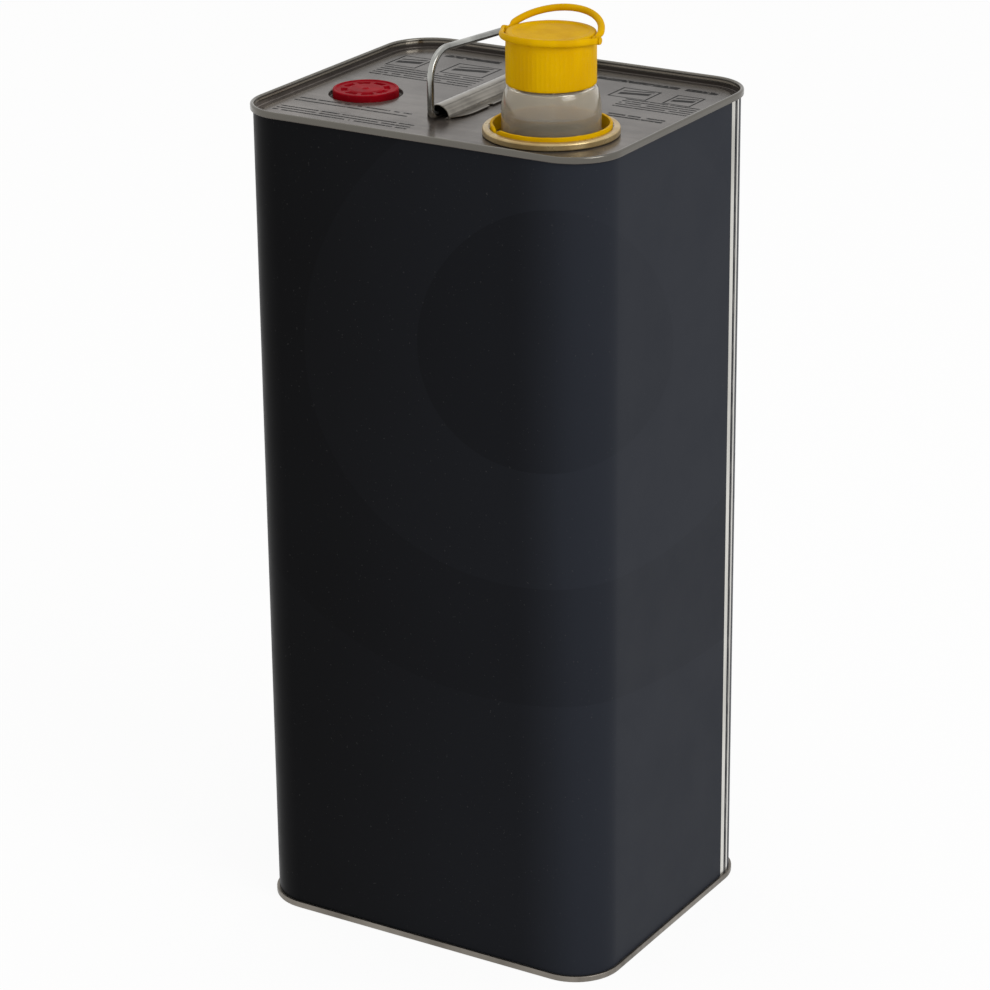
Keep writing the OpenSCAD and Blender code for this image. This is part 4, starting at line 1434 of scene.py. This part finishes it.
            shell.grid(turn(shape, self.hinge, yaw, pitch))
        body = kind.value.replace("cap_", "")
        return install(shell.build(YELLOW, sharp=50.0), body, kind.value, "yellow_plastic")

    def build(self) -> None:
        """Makes the cap and its bails, and dresses the liner."""
        self.cap()
        for kind in Bail:
            self.bail(kind)
        Compound("liner_foam", srgb(236, 233, 223), srgb(222, 217, 204), pit=0.03).apply("cap_liner")


class Bail(Enum):
    """The cap's two pull bails, by their nodes' names."""

    REAR = "cap_bail_rear"
    FRONT = "cap_bail_front"


# ---- Vent ----


@dataclass
class VentPlug:
    """The red plug in the panel's recess, with a ring of pockets in its top."""

    rim_w: float = 1.6
    rim_h: float = 0.4
    pocket_count: int = 8
    pocket_r: float = 9.8
    pocket_w: float = 2.6
    pocket_h: float = 0.9
    disc_r: float = 7.7
    pip_r: float = 1.3
    skirt_gap: float = 0.3
    skirt: float = 6.0
    rim_drop: float = 2.4                # how far the rim hangs below the seat
    neck_wall: float = 1.14

    def __post_init__(self) -> None:
        """Takes the plug's place from the frame."""
        box, gasket = Box.of("vent_plug"), Box.of("vent_gasket")
        self.axis = gasket.centre[:2]
        self.r = float(box.half[0])
        self.top = float(box.high[2])
        self.seat = float(gasket.high[2])
        self.neck_out, self.neck_in = float(gasket.half[0]), float(gasket.half[0]) - self.neck_wall

    def plug(self) -> bpy.types.Object:
        """Rim, sunk top with pockets, raised disc and pip; then the skirts that grip the neck.

        The top is a height field in polar form: the pockets are dips of a plateau in radius times a
        plateau in angle.
        """
        floor = self.top - self.rim_h
        foot = self.seat - self.rim_drop
        radii = np.concatenate([np.linspace(self.r - self.rim_w, self.disc_r, 26),
                                np.linspace(self.disc_r, 0, 22)[1:]])
        outer = outline([self.r - 1.5, foot], arc(self.r - 0.3, foot + 0.3, 0.3, -90, 0, 3),
                        arc(self.r - 0.6, self.top - 0.6, 0.6, 0, 90, 6),
                        arc(self.r - self.rim_w + 0.45, self.top - 0.2, 0.2, 90, 180, 3))
        face = np.column_stack([radii, np.full_like(radii, floor)])
        inner_r = self.neck_in - self.skirt_gap
        tip = self.seat + 0.5 - self.skirt
        under = outline(
            [0.0, self.seat + 0.5], [inner_r - 1.1, self.seat + 0.5], [inner_r - 1.1, tip + 0.3],
            [inner_r - 0.8, tip], [inner_r - 0.5, tip], [inner_r, tip + 0.9], [inner_r, self.seat],
            [self.neck_out + self.skirt_gap, self.seat], [self.neck_out + self.skirt_gap, foot + 0.3],
            [self.r - 1.5, foot])
        steps = 192
        ring = revolve(outline(outer, face, under), self.axis, steps)
        angle = np.linspace(0.0, 360.0, steps + 1)[:, None]
        columns = slice(len(outer), len(outer) + len(face))
        step = 360.0 / self.pocket_count
        open_angle = bump((angle - step / 3) % step, step / 2, step / 3, 1.6)
        pocket = bump(radii[None, :], self.pocket_r, self.pocket_w / 2, 0.5) * open_angle
        disc = 0.2 * (1 - smooth(self.disc_r - 0.5, self.disc_r - 0.1, radii))[None, :]
        pip = 0.3 * (1 - smooth(self.pip_r - 0.2, self.pip_r + 0.3, radii))[None, :]
        ring[:, columns, 2] += disc + pip - self.pocket_h * pocket
        shell = Shell("vent_plug_moulded")
        shell.grid(ring)
        red = MouldedPlastic("red_plastic_moulded", srgb(158, 10, 26), srgb(136, 8, 22), sheen=0.3,
                             gloss=0.012, dust=0.04)
        return install(shell.build(red, sharp=45.0), "vent", "vent_plug", "red_plastic")

    def build(self) -> None:
        """Makes the plug and dresses its gasket."""
        self.plug()
        Compound("vent_gasket_rubber", srgb(226, 222, 212), srgb(204, 199, 186)).apply("vent_gasket")


# ---- Studio ----


@dataclass
class Studio:
    """Camera, floor and soft lights. Distances here are metres."""

    azimuth: float = 31.387              # of the camera, from the front towards the right
    elevation: float = 21.316
    roll: float = -0.555
    distance: float = 1.6810
    lens: float = 130.31
    aim_z: float = 0.20136
    aim_side: float = -0.00319
    fill: float = 0.66                   # strength of the sky that lights the can

    def camera(self) -> None:
        """A long lens, a little above the can and to its right."""
        a, e, r = (math.radians(v) for v in (self.azimuth, self.elevation, self.roll))
        right = Vector((math.cos(a), math.sin(a), 0.0))
        back = Vector((math.sin(a) * math.cos(e), -math.cos(a) * math.cos(e), math.sin(e)))
        up = back.cross(right)
        across = right * math.cos(r) + up * math.sin(r)
        upright = up * math.cos(r) - right * math.sin(r)
        place = Vector((0.0, 0.0, self.aim_z)) + right * self.aim_side + back * self.distance
        data = bpy.data.cameras.new("camera")
        data.lens, data.sensor_width, data.clip_end = self.lens, 36.0, 50.0
        camera = bpy.data.objects.new("camera", data)
        camera.matrix_world = Matrix((across, upright, back)).transposed().to_4x4()
        camera.location = place
        bpy.context.scene.collection.objects.link(camera)
        bpy.context.scene.camera = camera

    def seen_white(self, graph: Graph, shaded: Socket, amount: float) -> Socket:
        """Shows white to the camera and in metal and glass, and the given shader to all other light."""
        path = [graph.node("ShaderNodeLightPath", output=name)
                for name in ("Is Camera Ray", "Is Glossy Ray", "Is Transmission Ray")]
        kind = "ShaderNodeBackground" if shaded.output.node.type == "BACKGROUND" else "ShaderNodeEmission"
        white = graph.node(kind, None, {0: (1.0, 1.0, 1.0), 1: 1.0})
        seen = path[0].union(path[1]).union(path[2]) * amount
        return graph.node("ShaderNodeMixShader", None, {0: seen, 1: shaded, 2: white})

    def world(self) -> None:
        """A plain pale sky."""
        world = bpy.data.worlds.new("studio")
        world.use_nodes = True
        bpy.context.scene.world = world
        graph = Graph(world.node_tree)
        sky = graph.node("ShaderNodeBackground", None, {0: (1.0, 0.99, 0.975), 1: self.fill})
        ready = self.seen_white(graph, sky, 1.0)
        graph.feed(world.node_tree.nodes["World Output"].inputs["Surface"], ready)

    def floor(self) -> None:
        """A wide pale sheet on the ground, which keeps the can's shadow."""
        corners = [(12.0 * x, 12.0 * y, 0.0) for x, y in ((-1, -1), (1, -1), (1, 1), (-1, 1))]
        mesh = bpy.data.meshes.new("floor")
        mesh.from_pydata(corners, [], [(0, 1, 2, 3)])
        floor = bpy.data.objects.new("floor", mesh)
        bpy.context.scene.collection.objects.link(floor)
        material = bpy.data.materials.new("floor_paper")
        material.use_nodes = True
        graph = Graph(material.node_tree)
        graph.dress(base_color=(0.94, 0.94, 0.94), roughness=0.9, specular_ior_level=0.0)
        shaded = Socket(graph, graph.shader.outputs[0])
        ready = self.seen_white(graph, shaded, 0.93)
        graph.feed(material.node_tree.nodes["Material Output"].inputs["Surface"], ready)
        mesh.materials.append(material)
        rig.stage(floor)

    def softbox(self, name: str, place: tuple[float, float, float], size: float, power: float) -> None:
        """A square area lamp at a place, aimed at the can's middle."""
        data = bpy.data.lights.new(name, "AREA")
        data.shape, data.size, data.energy = "SQUARE", size, power
        lamp = bpy.data.objects.new(name, data)
        lamp.location = place
        aim = Vector((0.0, 0.0, 0.22)) - lamp.location
        lamp.rotation_euler = aim.to_track_quat("-Z", "Y").to_euler()
        bpy.context.scene.collection.objects.link(lamp)

    def build(self) -> None:
        """Sets the stage."""
        bpy.context.scene.view_settings.view_transform = "Standard"
        self.camera()
        self.world()
        self.floor()
        self.softbox("key", (2.5, -0.6, 1.8), 1.6, 35.0)
        self.softbox("top", (-0.6, 0.5, 2.6), 2.0, 6.0)


def main() -> None:
    """Builds the can's pieces in order and writes both boxes."""
    logging.basicConfig(level=logging.INFO, format="%(name)s %(message)s")
    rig.load()
    frame_box = [list(corner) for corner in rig.bounds()]
    Studio().build()
    for part in (CanShell(), CarryHandle(), SpoutMount(), PullUpSpout(), ScrewCap(), VentPlug()):
        part.build()
    visual_box = [list(corner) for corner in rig.bounds()]
    with open("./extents.json", "w") as out:
        json.dump({"frame": frame_box, "visual": visual_box}, out)
    log.info("frame %s, visual %s", frame_box, visual_box)


if __name__ == "__main__":
    main()
